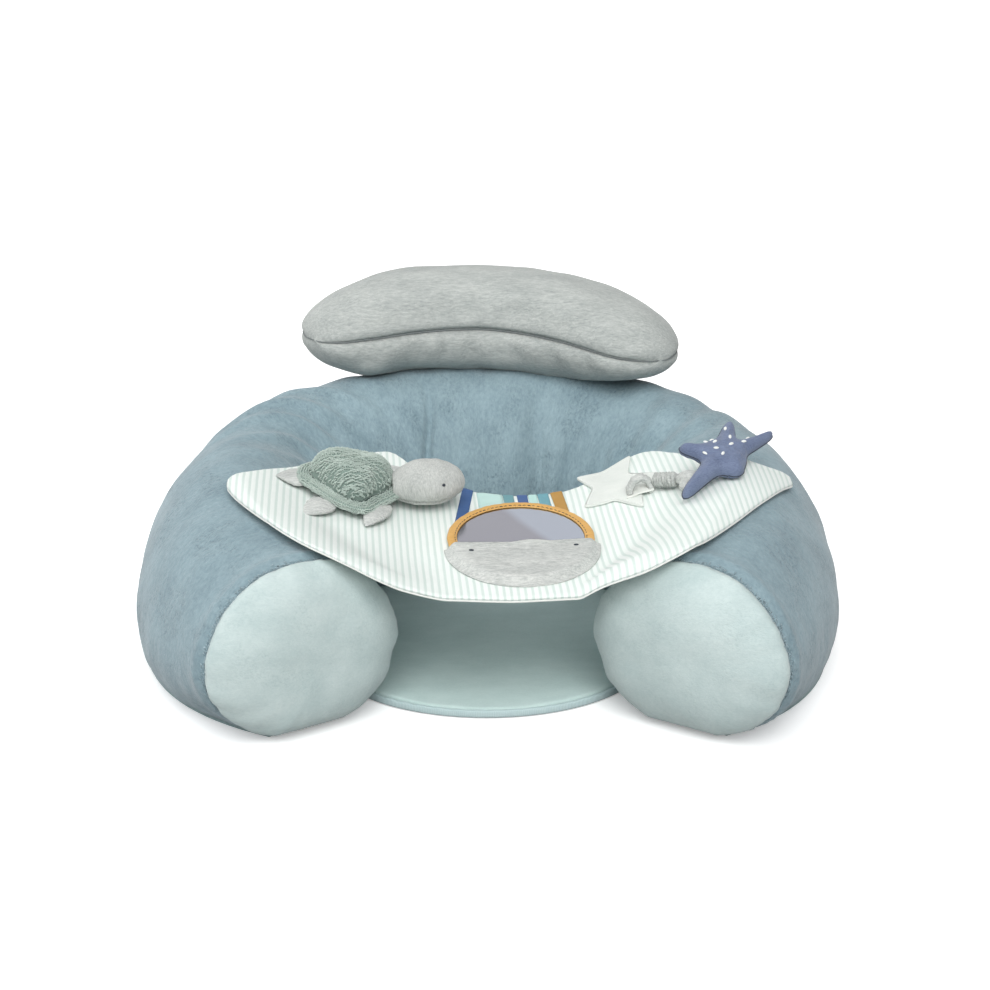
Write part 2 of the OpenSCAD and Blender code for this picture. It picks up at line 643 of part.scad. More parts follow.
module turtle_eyes() {
    side_y = head_w / 2 * plump_part(eye_part, head_bias, head_blunt);
    color("#2E3338") turtle_frame() head_frame() for (side = [-1, 1])
        translate([head_l * eye_part, side * (side_y + 2 * gap + stitch), 0])
            rotate([-90 * side, 0, 0]) cylinder(r = 1.8, h = 1, $fn = small);
}
module flipper(x, y, z, turn, lift, l, w) {
    color("#C7CAC5") turtle_frame() difference() {
        translate([x, y, z]) rotate([0, 0, turn]) rotate([0, -lift, 0]) plump(l, w, 4, 4, 0.75, 0.75, 6, 10);
        belly_form(gap);
        rim_form(gap);
    }
}
module front_right_flipper() { flipper(shell_l * 0.26, -shell_w * 0.28, 4.4, -66, 0, 44, 26); }
module front_left_flipper() { flipper(shell_l * 0.26, shell_w * 0.28, 4.4, 60, 0, 44, 26); }
module rear_right_flipper() { flipper(-shell_l * 0.18, -shell_w * 0.3, 7, -110, 7, 40, 26); }
module rear_left_flipper() { flipper(-shell_l * 0.34, shell_w * 0.16, 6, 160, 7, 36, 24); }

// ---- Pillow ----
pillow_x = 8;
pillow_turn = -6;
pillow_roll = 2;
pillow_drop = 14;      // how much lower the pillow's ends hang than its middle
pillow_behind = 43;    // how far the pillow's middle lies behind the crest
pillow_over = 40.3;     // how high its seam lies above the crest
pillow_steps = 18;
panel_steps = 9;
panel_t = 1.5;
shoulder_left = 12;
shoulder_right = 0;
// How much deeper the underside is on both sides of the middle, where it comes down round the bolster
function shoulder(q) = mix(shoulder_left, shoulder_right, (q + 1) / 2) * exp(-pow((abs(q) - 0.82) / 0.2, 2));
module pillow_frame() {
    translate([pillow_x, back_l + pillow_behind, back_h + pillow_over])
        rotate([0, pillow_roll, pillow_turn]) children();
}
// Rings of the pillow's upper half (depth above 0) or lower half, drawn in by t
function pillow_rings(depth, t) =
    [for (i = [0:pillow_steps]) let (q = mix(-0.998, 0.998, i / pillow_steps),
         a = q * pillow_l / 2 / pillow_r * 180 / PI,
         part = pow(1 - pow(abs(q), 2.7), 0.45),
         half = max(0.5, pillow_w / 2 * part - t),
         high = max(0.4, (abs(depth) + (depth < 0 ? shoulder(q) : 0) - t) * pow(part, 0.9)))
        [for (k = [0:panel_steps]) let (f = 180 * k / panel_steps, out = pillow_r + half * cos(f))
            [out * sin(a), out * cos(a) - pillow_r,
             sign(depth) * high * pow(max(0, sin(f)), 0.86) - pillow_drop * q * q]]];
module pillow_panel(depth) {
    outer = pillow_rings(depth, 0);
    inner = pillow_rings(depth, panel_t);
    rings = [for (i = [0:pillow_steps]) concat(outer[i], reversed(inner[i]))];
    color("#BFC4C2") pillow_frame() loft(depth > 0 ? rings : inside_out(rings));
}
module pillow_top() { pillow_panel(pillow_up); }
module pillow_bottom() { translate([0, 0, -stitch]) pillow_panel(-pillow_down); }
module pillow_filling() {
    upper = pillow_rings(pillow_up, panel_t + gap);
    lower = pillow_rings(-pillow_down, panel_t + gap);
    color("#F2F2EE") pillow_frame()
        loft([for (i = [0:pillow_steps]) concat(upper[i], [for (k = [panel_steps - 1:-1:1]) lower[i][k]])]);
}

ring_cover();
ring_filling();
left_end_panel();
right_end_panel();
base_panel();
base_padding();
zip_tapes();
zip_coils();
zip_stops();
zip_slider();
arm_loop_patches();
seat_pad_foam();
seat_pad_cover();
seat_pad_binding();
tray_top();
tray_wadding();
tray_backing();
tray_hook_patches();
mirror_pocket();
pocket_eyes();
ribbon_royal();
ribbon_aqua();
ribbon_teal();
ribbon_navy();
ribbon_mint();
ribbon_sky();
ribbon_mustard();
star_patch();
cord_tab();
cord_loop();
pull_sleeve();
pull_elastic();
mirror_ring();
mirror_face();
mirror_back();
turtle_shell();
turtle_rim();
turtle_belly();
turtle_head();
turtle_eyes();
front_left_flipper();
front_right_flipper();
rear_left_flipper();
rear_right_flipper();
starfish_body();
starfish_stitches();
cord_bulb();
pillow_top();
pillow_bottom();
pillow_filling();
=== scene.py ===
# %% [markdown]
# # A baby floor seat, dressed in Blender
# The real object is a stuffed horseshoe of plush on a padded base, with a striped play tray laid across
# its arms and a crescent pillow on its back. The rigid model comes packed from CAD, in metres. Here each
# soft solid is replaced by a fuller piece with cloth, seams and folds, in the same place.

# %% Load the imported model
import math
import bmesh
import bpy
import numpy as np
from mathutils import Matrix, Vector, kdtree, noise


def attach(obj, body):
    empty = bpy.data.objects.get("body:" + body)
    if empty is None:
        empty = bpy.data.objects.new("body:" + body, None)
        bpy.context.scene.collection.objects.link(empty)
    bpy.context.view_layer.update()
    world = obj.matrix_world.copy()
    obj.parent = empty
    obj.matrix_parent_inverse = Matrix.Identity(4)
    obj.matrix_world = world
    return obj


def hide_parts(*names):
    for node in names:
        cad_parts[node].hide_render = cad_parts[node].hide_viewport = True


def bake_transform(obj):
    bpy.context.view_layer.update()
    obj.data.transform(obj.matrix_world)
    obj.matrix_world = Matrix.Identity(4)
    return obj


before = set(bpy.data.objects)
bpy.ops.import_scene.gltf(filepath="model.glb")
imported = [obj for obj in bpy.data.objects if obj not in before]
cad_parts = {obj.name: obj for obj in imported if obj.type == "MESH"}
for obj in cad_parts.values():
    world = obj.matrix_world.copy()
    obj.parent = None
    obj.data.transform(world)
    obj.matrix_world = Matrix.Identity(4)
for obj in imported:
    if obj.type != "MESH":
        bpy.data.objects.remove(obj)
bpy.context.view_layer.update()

print("nodes:", len(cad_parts))

# %% [markdown]
# ## Camera
# The photograph looks down on the seat by 19 degrees from the front, through a long lens. The camera was
# fitted to the outlines of the bolster, the tray and the pillow, so it stands at fixed numbers.

# %% Camera
camera_data = bpy.data.cameras.new("camera")
camera_data.sensor_width = 36
camera_data.lens = 64.62
camera_data.clip_end = 60
camera = bpy.data.objects.new("camera", camera_data)
camera.location = (0.0076, -1.510, 0.648)
camera.rotation_euler = (math.radians(71), 0, 0)
bpy.context.collection.objects.link(camera)
bpy.context.scene.camera = camera
print("camera at", tuple(round(v, 3) for v in camera.location))

# %% [markdown]
# ## Small helpers for surfaces
# Every soft piece here is a skin over rows of points, worked out in millimetres. Rows keep the cloth's own
# directions, so that stitches, folds and the lay of the pile can follow them. numpy holds the rows, and
# one function turns them into a mesh. A form is a pair of points and faces.

# %% Numbers that many pieces use
MM = 0.001


def mix(a, b, t):
    return a + (b - a) * t


def share(t):
    return np.clip(t, 0, 1)


def ease(t):
    return (1 - np.cos(np.pi * share(t))) / 2


def hump(x, middle, width):
    """A soft bump, 1 at its middle."""
    return np.exp(-((x - middle) / width) ** 2)


def power(x, exponent):
    """A power that keeps the sign."""
    return math.copysign(abs(x) ** exponent, x)


# %% Directions and turns
def unit(way):
    """The same direction, or directions, with length 1."""
    return way / np.maximum(np.linalg.norm(way, axis=-1, keepdims=True), 1e-9)


def circle_of(count):
    """Angles all the way round."""
    return np.arange(count) * 2 * math.pi / count


def turned(axis, degrees):
    c, s = math.cos(math.radians(degrees)), math.sin(math.radians(degrees))
    return {"x": np.array([[1, 0, 0], [0, c, -s], [0, s, c]]),
            "y": np.array([[c, 0, s], [0, 1, 0], [-s, 0, c]]),
            "z": np.array([[c, -s, 0], [s, c, 0], [0, 0, 1]])}[axis]


def placed(start, way):
    """A function that takes points from a toy's own frame to the seat's."""
    return lambda points: start + np.asarray(points, float) @ way.T


# %% Lines of points
def walked(line):
    """How far along a line each of its points is."""
    return np.concatenate([[0], np.cumsum(np.linalg.norm(np.diff(line, axis=0), axis=1))])


def read_at(spots, walk, line):
    """Points of a line at given distances along it."""
    return np.stack([np.interp(spots, walk, column) for column in np.asarray(line).T], axis=1)


def evenly(line, steps):
    """A closed line again, with all its points the same distance apart."""
    line = np.vstack([line, line[:1]])
    walk = walked(line)
    return read_at(np.linspace(0, walk[-1], steps + 1)[:-1], walk, line)


# %% Uneven softness: slow noise at each point
def drift(points, size, seed):
    """Smooth noise from about -0.5 to 0.5, with features of the given size in millimetres."""
    shift = Vector((seed * 17.3, seed * 5.1, seed * 9.7))
    return np.array([noise.noise(Vector(p) / size + shift) for p in points])


# %% Skins over rows of points
def skin(rings, ends=True):
    """The form of a closed tube of rings, with a fan of triangles over each end."""
    rings = np.asarray(rings, float)
    n, m = rings.shape[:2]
    i, j = np.meshgrid(np.arange(n - 1), np.arange(m), indexing="ij")
    k = (j + 1) % m
    corners = (i * m + j, i * m + k, (i + 1) * m + k, (i + 1) * m + j)
    faces = np.stack(corners, axis=-1).reshape(-1, 4).tolist()
    points = rings.reshape(-1, 3)
    for row, turn in ((0, 1), (n - 1, -1)) if ends else ():
        middle = len(points)
        points = np.vstack([points, rings[row].mean(axis=0)])
        for a in range(m):
            faces.append([row * m + a, row * m + (a + 1) % m, middle][::-turn])
    return points, faces


def looped(rings):
    """The form of a tube whose last ring joins its first."""
    points, faces = skin(rings, ends=False)
    n, m = len(rings), len(rings[0])
    return points, faces + [[(n - 1) * m + j, (n - 1) * m + (j + 1) % m, (j + 1) % m, j] for j in range(m)]


def slab(top, low):
    """The form between two sheets that share their rim."""
    return skin(np.concatenate([top, low[:, ::-1]], axis=1))


def joined(forms):
    """Several forms as one."""
    points, faces, start = [], [], 0
    for p, f in forms:
        points.append(np.asarray(p))
        faces += [[v + start for v in face] for face in f]
        start += len(p)
    return np.vstack(points), faces


def moved(place, form):
    return place(form[0]), form[1]


# %% Meshes from forms
def with_normals_out(mesh):
    shape = bmesh.new()
    shape.from_mesh(mesh)
    bmesh.ops.recalc_face_normals(shape, faces=shape.faces)
    shape.to_mesh(mesh)
    shape.free()


def outward(points, faces):
    """The outward direction at each point of a closed skin."""
    mesh = bpy.data.meshes.new("directions")
    mesh.from_pydata(np.asarray(points).tolist(), [], faces)
    with_normals_out(mesh)
    normals = np.empty(len(points) * 3, dtype=np.float32)
    mesh.vertices.foreach_get("normal", normals)
    bpy.data.meshes.remove(mesh)
    return normals.reshape(-1, 3).astype(float)


def placed_in_scene(name, mesh, material, body, nodes):
    """An object on a body. It stands for the CAD nodes named in one text."""
    obj = bpy.data.objects.new(name, mesh)
    obj.data.materials.append(material)
    bpy.context.collection.objects.link(obj)
    if body:
        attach(obj, body)
    if nodes:
        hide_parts(*nodes.split())
    print(f"{name}: {len(mesh.polygons)} faces")
    return obj


def piece(name, form, material, body, nodes="", flat=None, closed=True):
    """A Blender piece from a form. flat gives each face corner's place on the flat cloth."""
    mesh = bpy.data.meshes.new(name)
    mesh.from_pydata((np.asarray(form[0]) * MM).tolist(), [], form[1])
    if flat is not None:
        layer = mesh.uv_layers.new(name="cloth")
        layer.data.foreach_set("uv", (np.asarray(flat) * MM * 10).ravel())
    mesh.validate()
    if closed:
        with_normals_out(mesh)
    mesh.polygons.foreach_set("use_smooth", [True] * len(mesh.polygons))
    return placed_in_scene(name, mesh, material, body, nodes)


# %% [markdown]
# ## Stuffing by cloth simulation
# Real padding pushes its cover out until the cloth pulls back. Blender's Cloth with inner pressure does the
# same. An even copy of the form is remeshed, blown up for some frames without gravity, and how far it moved
# is capped and carried over to the fine skin, which keeps its seams and its cloth directions. Everything
# has the same result in every run.

# %% Blow up a form
def vertex_places(mesh):
    places = np.empty(len(mesh.vertices) * 3)
    mesh.vertices.foreach_get("co", places)
    return places.reshape(-1, 3)


def stuffed(name, points, faces, grain, pressure, cap, frames, keep=None):
    """Points moved by the stuffing. grain is the remesh size and cap the farthest move, in millimetres."""
    scene = bpy.context.scene
    mesh = bpy.data.meshes.new(name + "_form")
    mesh.from_pydata((points * MM).tolist(), [], faces)
    form = bpy.data.objects.new(name + "_form", mesh)
    bpy.context.collection.objects.link(form)
    remesh = form.modifiers.new("even", "REMESH")
    remesh.mode = "VOXEL"
    remesh.voxel_size = grain * MM
    even = bpy.data.meshes.new_from_object(form.evaluated_get(bpy.context.evaluated_depsgraph_get()))
    form.modifiers.clear()
    form.data = even
    start = vertex_places(even)
    settings = form.modifiers.new("stuffing", "CLOTH").settings
    settings.quality = 6
    settings.use_pressure = True
    settings.uniform_pressure_force = pressure
    settings.tension_stiffness = settings.compression_stiffness = 12
    settings.shear_stiffness = 6
    settings.bending_stiffness = 0.6
    settings.effector_weights.gravity = 0
    if keep is not None:
        held = form.vertex_groups.new(name="held")
        held.add([int(i) for i in np.nonzero(keep(start / MM))[0]], 1, "REPLACE")
        settings.vertex_group_mass = "held"
    for frame_number in range(1, frames + 1):
        scene.frame_set(frame_number)
    move = (vertex_places(form.evaluated_get(bpy.context.evaluated_depsgraph_get()).data) - start) / MM
    move *= np.minimum(1, cap / np.maximum(np.linalg.norm(move, axis=1, keepdims=True), 1e-6))
    scene.frame_set(1)
    form.modifiers.clear()
    bpy.data.objects.remove(form)
    tree = kdtree.KDTree(len(start))
    for index, place in enumerate(start):
        tree.insert(place, index)
    tree.balance()
    carried = np.zeros_like(points)
    for index, place in enumerate(points * MM):
        near = tree.find_n(place, 6)
        weights = np.array([1 / (hit[2] + 0.0015) for hit in near])
        carried[index] = (weights[:, None] * move[[hit[1] for hit in near]]).sum(axis=0) / weights.sum()
    far = np.linalg.norm(carried, axis=1).mean()
    print(f"{name}: {len(start)} points blown up, moved {far:.1f} mm on average")
    return points + carried


# %% [markdown]
# ## Shader helpers
# A material is a small web of nodes. These helpers place a node with its settings and links in one line.
# Effects that several cloths share are node groups, built once: pile, marl yarn, weave and wear. A group
# puts out only colours, masks and heights, and the shader stays in the material.

# %% Place a node
def put(tree, kind, inputs=None, **settings):
    node = tree.nodes.new("ShaderNode" + kind)
    for key, value in settings.items():
        setattr(node, key, value)
    for key, value in (inputs or {}).items():
        socket = node.inputs[key]
        if isinstance(value, bpy.types.NodeSocket):
            tree.links.new(value, socket)
        else:
            socket.default_value = value
    return node


def rgb(red, green, blue):
    """A colour as the eye sees it, 0 to 255, in Blender's linear values."""
    seen = (red / 255, green / 255, blue / 255)
    return (*(c / 12.92 if c <= 0.04045 else ((c + 0.055) / 1.055) ** 2.4 for c in seen), 1)


# %% The nodes that come most often
def maths(tree, operation, a, b=0.5, c=None):
    inputs = {0: a, 1: b} if c is None else {0: a, 1: b, 2: c}
    return put(tree, "Math", inputs, operation=operation).outputs[0]


def times(tree, a, b):
    return maths(tree, "MULTIPLY", a, b)


def plus_times(tree, a, b, c):
    """a times b, plus c."""
    return maths(tree, "MULTIPLY_ADD", a, b, c)


def colour_mix(tree, factor, a, b):
    return put(tree, "Mix", {0: factor, 6: a, 7: b}, data_type="RGBA", blend_type="MIX").outputs[2]


def ranged(tree, value, low=0.0, high=1.0, to_low=0.0, to_high=1.0, **settings):
    return put(tree, "MapRange", {"Value": value, "From Min": low, "From Max": high, "To Min": to_low,
        "To Max": to_high}, **settings).outputs[0]


def speckle(tree, vector, scale, detail):
    return put(tree, "TexNoise", {"Vector": vector, "Scale": scale, "Detail": detail})


def scaled(tree, vector, scale):
    return put(tree, "Mapping", {"Vector": vector, "Scale": scale}).outputs[0]


def rotated(tree, vector, degrees):
    turn = tuple(math.radians(t) for t in degrees)
    return put(tree, "Mapping", {"Vector": vector, "Rotation": turn}).outputs[0]


def grainy(tree, vector, size, detail=2, roughness=0.5, stretch=(1, 1, 1)):
    """Noise with features of the given size in metres."""
    place = scaled(tree, vector, tuple(1 / s for s in stretch))
    return put(tree, "TexNoise", {"Vector": place, "Scale": 1 / size, "Detail": detail,
        "Roughness": roughness}).outputs[0]


def bumped(tree, height, strength, distance):
    return put(tree, "Bump", {"Height": height, "Strength": strength, "Distance": distance}).outputs[0]


# %% Start a node group
def start_group(name, inputs, outputs):
    """A node group whose first input is the place on the cloth."""
    tree = bpy.data.node_groups.new(name, "ShaderNodeTree")
    tree.interface.new_socket("Place", in_out="INPUT", socket_type="NodeSocketVector")
    for label, value in inputs.items():
        tree.interface.new_socket(label, in_out="INPUT", socket_type="NodeSocketFloat").default_value = value
    for label in outputs:
        tree.interface.new_socket(label, in_out="OUTPUT", socket_type="NodeSocketFloat")
    return tree, tree.nodes.new("NodeGroupInput").outputs, tree.nodes.new("NodeGroupOutput").inputs


def put_out(tree, result, **values):
    for label, value in values.items():
        tree.links.new(value, result[label])
    print(f"{tree.name}: {len(tree.nodes)} nodes")


def shaken(tree, place, scale, amount):
    """A place bent a little by slow noise."""
    bend = speckle(tree, place, scale, 1)
    return put(tree, "VectorMath", {0: bend.outputs["Color"], 1: (amount,) * 3, 2: place},
        operation="MULTIPLY_ADD").outputs[0]


def in_units_of(tree, place, size):
    scaled_place = put(tree, "VectorMath", {0: place}, operation="SCALE")
    tree.links.new(maths(tree, "DIVIDE", 1, size), scaled_place.inputs["Scale"])
    return scaled_place.outputs[0]


# %% [markdown]
# ### Pile
# Plush and velour are short upright fibres. They show as three sizes of unevenness: patches where the pile
# was brushed, clumps of fibres that lean together, and single fibres. In some patches the pile has parted
# and shows its darker ground. The lay runs along the first direction of the place that is handed in.

# %% Node group: pile
pile, given, result = start_group("pile", {"Fibre": 1.0, "Clumping": 0.5}, ("Tone", "Height"))
bent = shaken(pile, in_units_of(pile, given["Place"], given["Fibre"]), 45, 0.006)
brushed = grainy(pile, bent, 0.032, 2, 0.5, (1.6, 1, 1))
clumps = grainy(pile, bent, 0.0036, 3, 0.66, (1.7, 1, 1))
patches = ranged(pile, grainy(pile, bent, 0.045, 2, 0.55), 0.47, 0.62)
parted = ranged(pile, grainy(pile, bent, 0.0024, 3, 0.7, (1.3, 1, 1)), 0.36, 0.52)
parted = times(pile, maths(pile, "SUBTRACT", 1, parted), patches)
fibres = grainy(pile, bent, 0.0013, 3, 0.7, (2.6, 1, 1))
tone = times(pile, brushed, 0.42)
clump_part = times(pile, clumps, given["Clumping"])
tone = maths(pile, "ADD", tone, times(pile, clump_part, 0.7))
tone = plus_times(pile, fibres, 0.32, tone)
tone = maths(pile, "SUBTRACT", tone, times(pile, times(pile, parted, given["Clumping"]), 0.27))
height = plus_times(pile, fibres, 0.35, times(pile, clump_part, 1.1))
height = maths(pile, "SUBTRACT", height, times(pile, times(pile, parted, given["Clumping"]), 0.45))
put_out(pile, result, Tone=tone, Height=height)

# %% [markdown]
# ### Marl
# Marl jersey is knitted from yarn of pale and dark fibres, so it shows short streaks along the knit, over
# fine ribs of stitches.

# %% Node group: marl
marl, given, result = start_group("marl", {"Yarn": 1.0, "Stitches": 900.0}, ("Tone", "Height"))
place = in_units_of(marl, given["Place"], given["Yarn"])
bent = shaken(marl, place, 60, 0.004)
streaks = grainy(marl, bent, 0.0016, 3, 0.66, (5.5, 1, 1))
flecks = grainy(marl, bent, 0.0007, 2, 0.6, (3.2, 1, 1))
dyeing = grainy(marl, place, 0.02, 2, 0.5, (2.4, 1, 1))
tone = plus_times(marl, streaks, 0.62, times(marl, flecks, 0.3))
tone = plus_times(marl, dyeing, 0.26, tone)
ribs = put(marl, "TexWave", {"Vector": given["Place"], "Scale": given["Stitches"], "Distortion": 1.2,
    "Detail": 1, "Detail Scale": 2}, wave_type="BANDS", bands_direction="Y")
height = plus_times(marl, flecks, 0.6, times(marl, ribs.outputs["Fac"], 0.3))
put_out(marl, result, Tone=tone, Height=height)

# %% [markdown]
# ### Weave
# A plain weave is two sets of threads that pass over and under each other. Two sine waves across each other
# give the crowns of the threads, and a little noise makes the thread uneven.

# %% Node group: weave
weave, given, result = start_group("weave", {"Thread": 0.0006, "Slub": 0.4}, ("Tone", "Height"))
uneven = speckle(weave, given["Place"], 220, 2)
shaken_place = put(weave, "VectorMath", {0: uneven.outputs["Color"], 1: (0.0005,) * 3, 2: given["Place"]},
    operation="MULTIPLY_ADD").outputs[0]
axes = put(weave, "SeparateXYZ", {0: shaken_place})
turns = maths(weave, "DIVIDE", math.pi, given["Thread"])
warp, weft = (maths(weave, "SINE", times(weave, axes.outputs[axis], turns)) for axis in "XY")
crown = plus_times(weave, times(weave, warp, weft), 0.5, 0.5)
slub = grainy(weave, given["Place"], 0.0022, 3, 0.6, (4, 1, 1))
tone = plus_times(weave, times(weave, slub, given["Slub"]), 1, times(weave, crown, 0.35))
put_out(weave, result, Tone=tone, Height=crown)

# %% [markdown]
# ### Wear
# Nothing soft stays one even colour: it fades and picks up a little dust in broad patches. This mask is
# laid over each cloth, faintly.

# %% Node group: wear
wear, given, result = start_group("wear", {"Amount": 0.3}, ("Mask",))
broad = grainy(wear, given["Place"], 0.09, 3, 0.55)
small_spots = grainy(wear, given["Place"], 0.011, 2, 0.5)
mask = plus_times(wear, small_spots, 0.35, times(wear, broad, 0.8))
put_out(wear, result, Mask=times(wear, mask, given["Amount"]))


# %% [markdown]
# ## Cloth materials
# Each cloth mixes a dark and a light shade by the tone of its group, lets the height lift the surface, and
# catches a soft sheen at grazing angles, as fibres do.

# %% Make a cloth material
def start_material(name):
    material = bpy.data.materials.new(name)
    material.use_nodes = True
    return material, material.node_tree, material.node_tree.nodes["Principled BSDF"]


def cloth(name, group, values, dark, light, bump=0.3, lift=0.001, sheen=0.25, roughness=(0.78, 0.95),
          tones=(0.3, 0.75), by="Object", faded=None, fade=0.3, turn=None):
    """Colours are 0 to 255. values sets the group's inputs, and turn turns the cloth's lay by degrees."""
    material, tree, shader = start_material(name)
    place = put(tree, "TexCoord").outputs[by]
    if by == "UV":
        place = scaled(tree, place, (0.1, 0.1, 0.1))
    if turn:
        place = rotated(tree, place, turn)
    yarn = put(tree, "Group", None, node_tree=group)
    tree.links.new(place, yarn.inputs["Place"])
    for key, value in values.items():
        yarn.inputs[key].default_value = value
    colour = colour_mix(tree, ranged(tree, yarn.outputs["Tone"], *tones), rgb(*dark), rgb(*light))
    soiled = put(tree, "Group", None, node_tree=wear)
    tree.links.new(place, soiled.inputs["Place"])
    soiled.inputs["Amount"].default_value = fade
    colour = colour_mix(tree, soiled.outputs[0], colour, rgb(*(faded or light)))
    rough = ranged(tree, yarn.outputs["Tone"], to_low=roughness[1], to_high=roughness[0])
    for label, value in (("Base Color", colour), ("Roughness", rough),
                         ("Normal", bumped(tree, yarn.outputs["Height"], bump, lift))):
        tree.links.new(value, shader.inputs[label])
    shader.inputs["Sheen Weight"].default_value = sheen
    shader.inputs["Sheen Roughness"].default_value = 0.45
    shader.inputs["Sheen Tint"].default_value = (1, 1, 1, 1)
    shader.inputs["Specular IOR Level"].default_value = 0.15
    return material


# %% Piles and marls: fibre or yarn, dark, light, bump, lift and sheen
def fibrous(name, fibre, clumping, *rest, **more):
    return cloth(name, pile, {"Fibre": fibre, "Clumping": clumping}, *rest, **more)


def knitted(name, yarn, *rest, **more):
    return cloth(name, marl, {"Yarn": yarn}, *rest, **more)


plush = fibrous("plush", 1.0, 0.7, (86, 109, 121), (145, 167, 175), 0.6, 0.0018, 0.3, by="UV",
    faded=(160, 181, 186), fade=0.22, tones=(0.26, 0.76))
tuft_pile = fibrous("tuft_pile", 0.5, 0.3, (128, 151, 160), (168, 189, 195), 0.4, 0.001, 0.3)
velour = fibrous("velour", 0.8, 0.42, (170, 190, 190), (208, 221, 219), 0.45, 0.0012, 0.2,
    faded=(208, 220, 218), fade=0.22)
mat_velour = fibrous("mat_velour", 0.6, 0.25, (184, 206, 203), (212, 230, 227), 0.3, 0.0008, 0.15,
    faded=(204, 221, 218), fade=0.25)
terry = fibrous("terry", 0.5, 0.6, (156, 174, 166), (196, 208, 200), 0.3, 0.0005, 0.3, fade=0.2)
# the terry's ground is darker than its loops: painted shade in the gaps between the loops
terry_ground_painted_shade = fibrous("terry_ground_painted_shade", 0.5, 0.6, (112, 131, 123), (146, 163, 155), 0.4, 0.0006, 0.2, fade=0.1)
felt = fibrous("felt", 0.45, 0.3, (208, 214, 209), (231, 234, 229), 0.35, 0.0005, 0.15, fade=0.2)
jersey = knitted("jersey", 1.0, (140, 146, 145), (197, 201, 197), 0.35, 0.0005, 0.18,
    tones=(0.4, 0.78), fade=0.2)
fine_jersey = knitted("fine_jersey", 0.85, (136, 142, 141), (217, 219, 215), 0.4, 0.0004, 0.18,
    tones=(0.38, 0.76), fade=0.2)
head_jersey = knitted("head_jersey", 0.8, (148, 153, 151), (207, 209, 205), 0.45, 0.0005, 0.18,
    tones=(0.38, 0.76), fade=0.2, turn=(0, 90, 0))
navy_jersey = knitted("navy_jersey", 0.5, (80, 92, 120), (130, 142, 168), 0.45, 0.0005, 0.2,
    tones=(0.36, 0.8), fade=0.15)


# %% Woven cloths, tapes and threads
def woven(name, thread, slub, *rest, **more):
    return cloth(name, weave, {"Thread": thread, "Slub": slub}, *rest, **more)


def sewing_thread(name, dark, light, **more):
    return woven(name, 0.0005, 0.4, dark, light, 0.3, 0.0003, 0.05, **more)


base_cloth = woven("base_cloth", 0.0007, 0.5, (134, 158, 160), (166, 186, 186), 0.35, 0.0003, 0.1)
mat_edge_cloth = woven("mat_edge_cloth", 0.0007, 0.4, (176, 198, 199), (202, 219, 220), 0.35, 0.0003, 0.12)
calico = woven("calico", 0.0006, 0.4, (222, 226, 221), (242, 244, 240), 0.3, 0.0003, 0.1)
canvas = woven("canvas", 0.0008, 0.55, (200, 152, 82), (230, 186, 118), 0.45, 0.0004, 0.12,
    faded=(232, 192, 128), fade=0.2)
twill = woven("twill", 0.0008, 0.35, (224, 228, 222), (242, 243, 238), 0.4, 0.0004, 0.08)
hook_tape = woven("hook_tape", 0.0016, 0.3, (204, 207, 203), (226, 228, 225), 0.8, 0.0008, 0.0,
    roughness=(0.45, 0.7))
tape_cloth = woven("zip_tape_cloth", 0.0006, 0.3, (124, 146, 153), (150, 170, 176), 0.4, 0.0003, 0.05)
tooth_cloth = woven("zip_tooth", 0.0012, 0.2, (112, 132, 140), (138, 158, 165), 0.3, 0.0003, 0.0,
    roughness=(0.4, 0.6))
dark_thread = sewing_thread("dark_thread", (48, 53, 60), (74, 79, 86), roughness=(0.5, 0.7))
pale_thread = sewing_thread("pale_thread", (226, 230, 226), (246, 247, 244), roughness=(0.5, 0.7))
dark_green_thread = sewing_thread("dark_green_thread", (66, 80, 75), (92, 108, 101))
rim_thread = sewing_thread("rim_thread", (168, 174, 171), (194, 199, 196))
seam_thread = sewing_thread("seam_thread", (122, 128, 128), (148, 154, 153))
ribbon_shades = {
    "royal": ((62, 92, 140), (84, 114, 160)), "aqua": ((182, 214, 209), (206, 229, 224)),
    "teal": ((102, 146, 154), (126, 166, 172)), "navy": ((68, 94, 142), (92, 118, 160)),
    "mint": ((176, 214, 208), (198, 226, 221)), "sky": ((104, 154, 166), (130, 174, 184)),
    "mustard": ((172, 132, 70), (198, 158, 96))}
ribbon_materials = {
    shade: woven(shade + "_ribbon", 0.0009, 0.3, *pair, 0.4, 0.0003, 0.1, roughness=(0.6, 0.8))
    for shade, pair in ribbon_shades.items()}
print("cloths:", len(bpy.data.materials))

# %% [markdown]
# ### Striped cotton
# The tray's top is white cotton with soft mint stripes about 5.6 mm apart, which run from front to back.
# The stripe comes from the cloth's own width coordinate, turned with the tray.

# %% Striped cotton
striped = woven("striped_cotton", 0.0007, 0.45, (229, 236, 232), (245, 249, 246), 0.35, 0.0004, 0.1,
    by="UV", fade=0.15)
stripe_gap = 0.0056
tree = striped.node_tree
base_colour = tree.nodes["Principled BSDF"].inputs["Base Color"]
plain_cotton = base_colour.links[0].from_socket
axes = put(tree, "SeparateXYZ", {0: scaled(tree, put(tree, "TexCoord").outputs["UV"], (0.1, 0.1, 0.1))})
wobble = speckle(tree, put(tree, "TexCoord").outputs["Object"], 60, 2).outputs[0]
across = plus_times(tree, wobble, 0.0007, axes.outputs["Y"])
wave = maths(tree, "SINE", times(tree, across, 2 * math.pi / stripe_gap))
stripe = ranged(tree, wave, -0.1, 0.75, interpolation_type="SMOOTHSTEP")
worn = speckle(tree, put(tree, "TexCoord").outputs["Object"], 900, 2).outputs[0]
stripe = times(tree, stripe, plus_times(tree, worn, 0.5, 0.6))
tree.links.new(colour_mix(tree, stripe, plain_cotton, rgb(206, 220, 214)), base_colour)
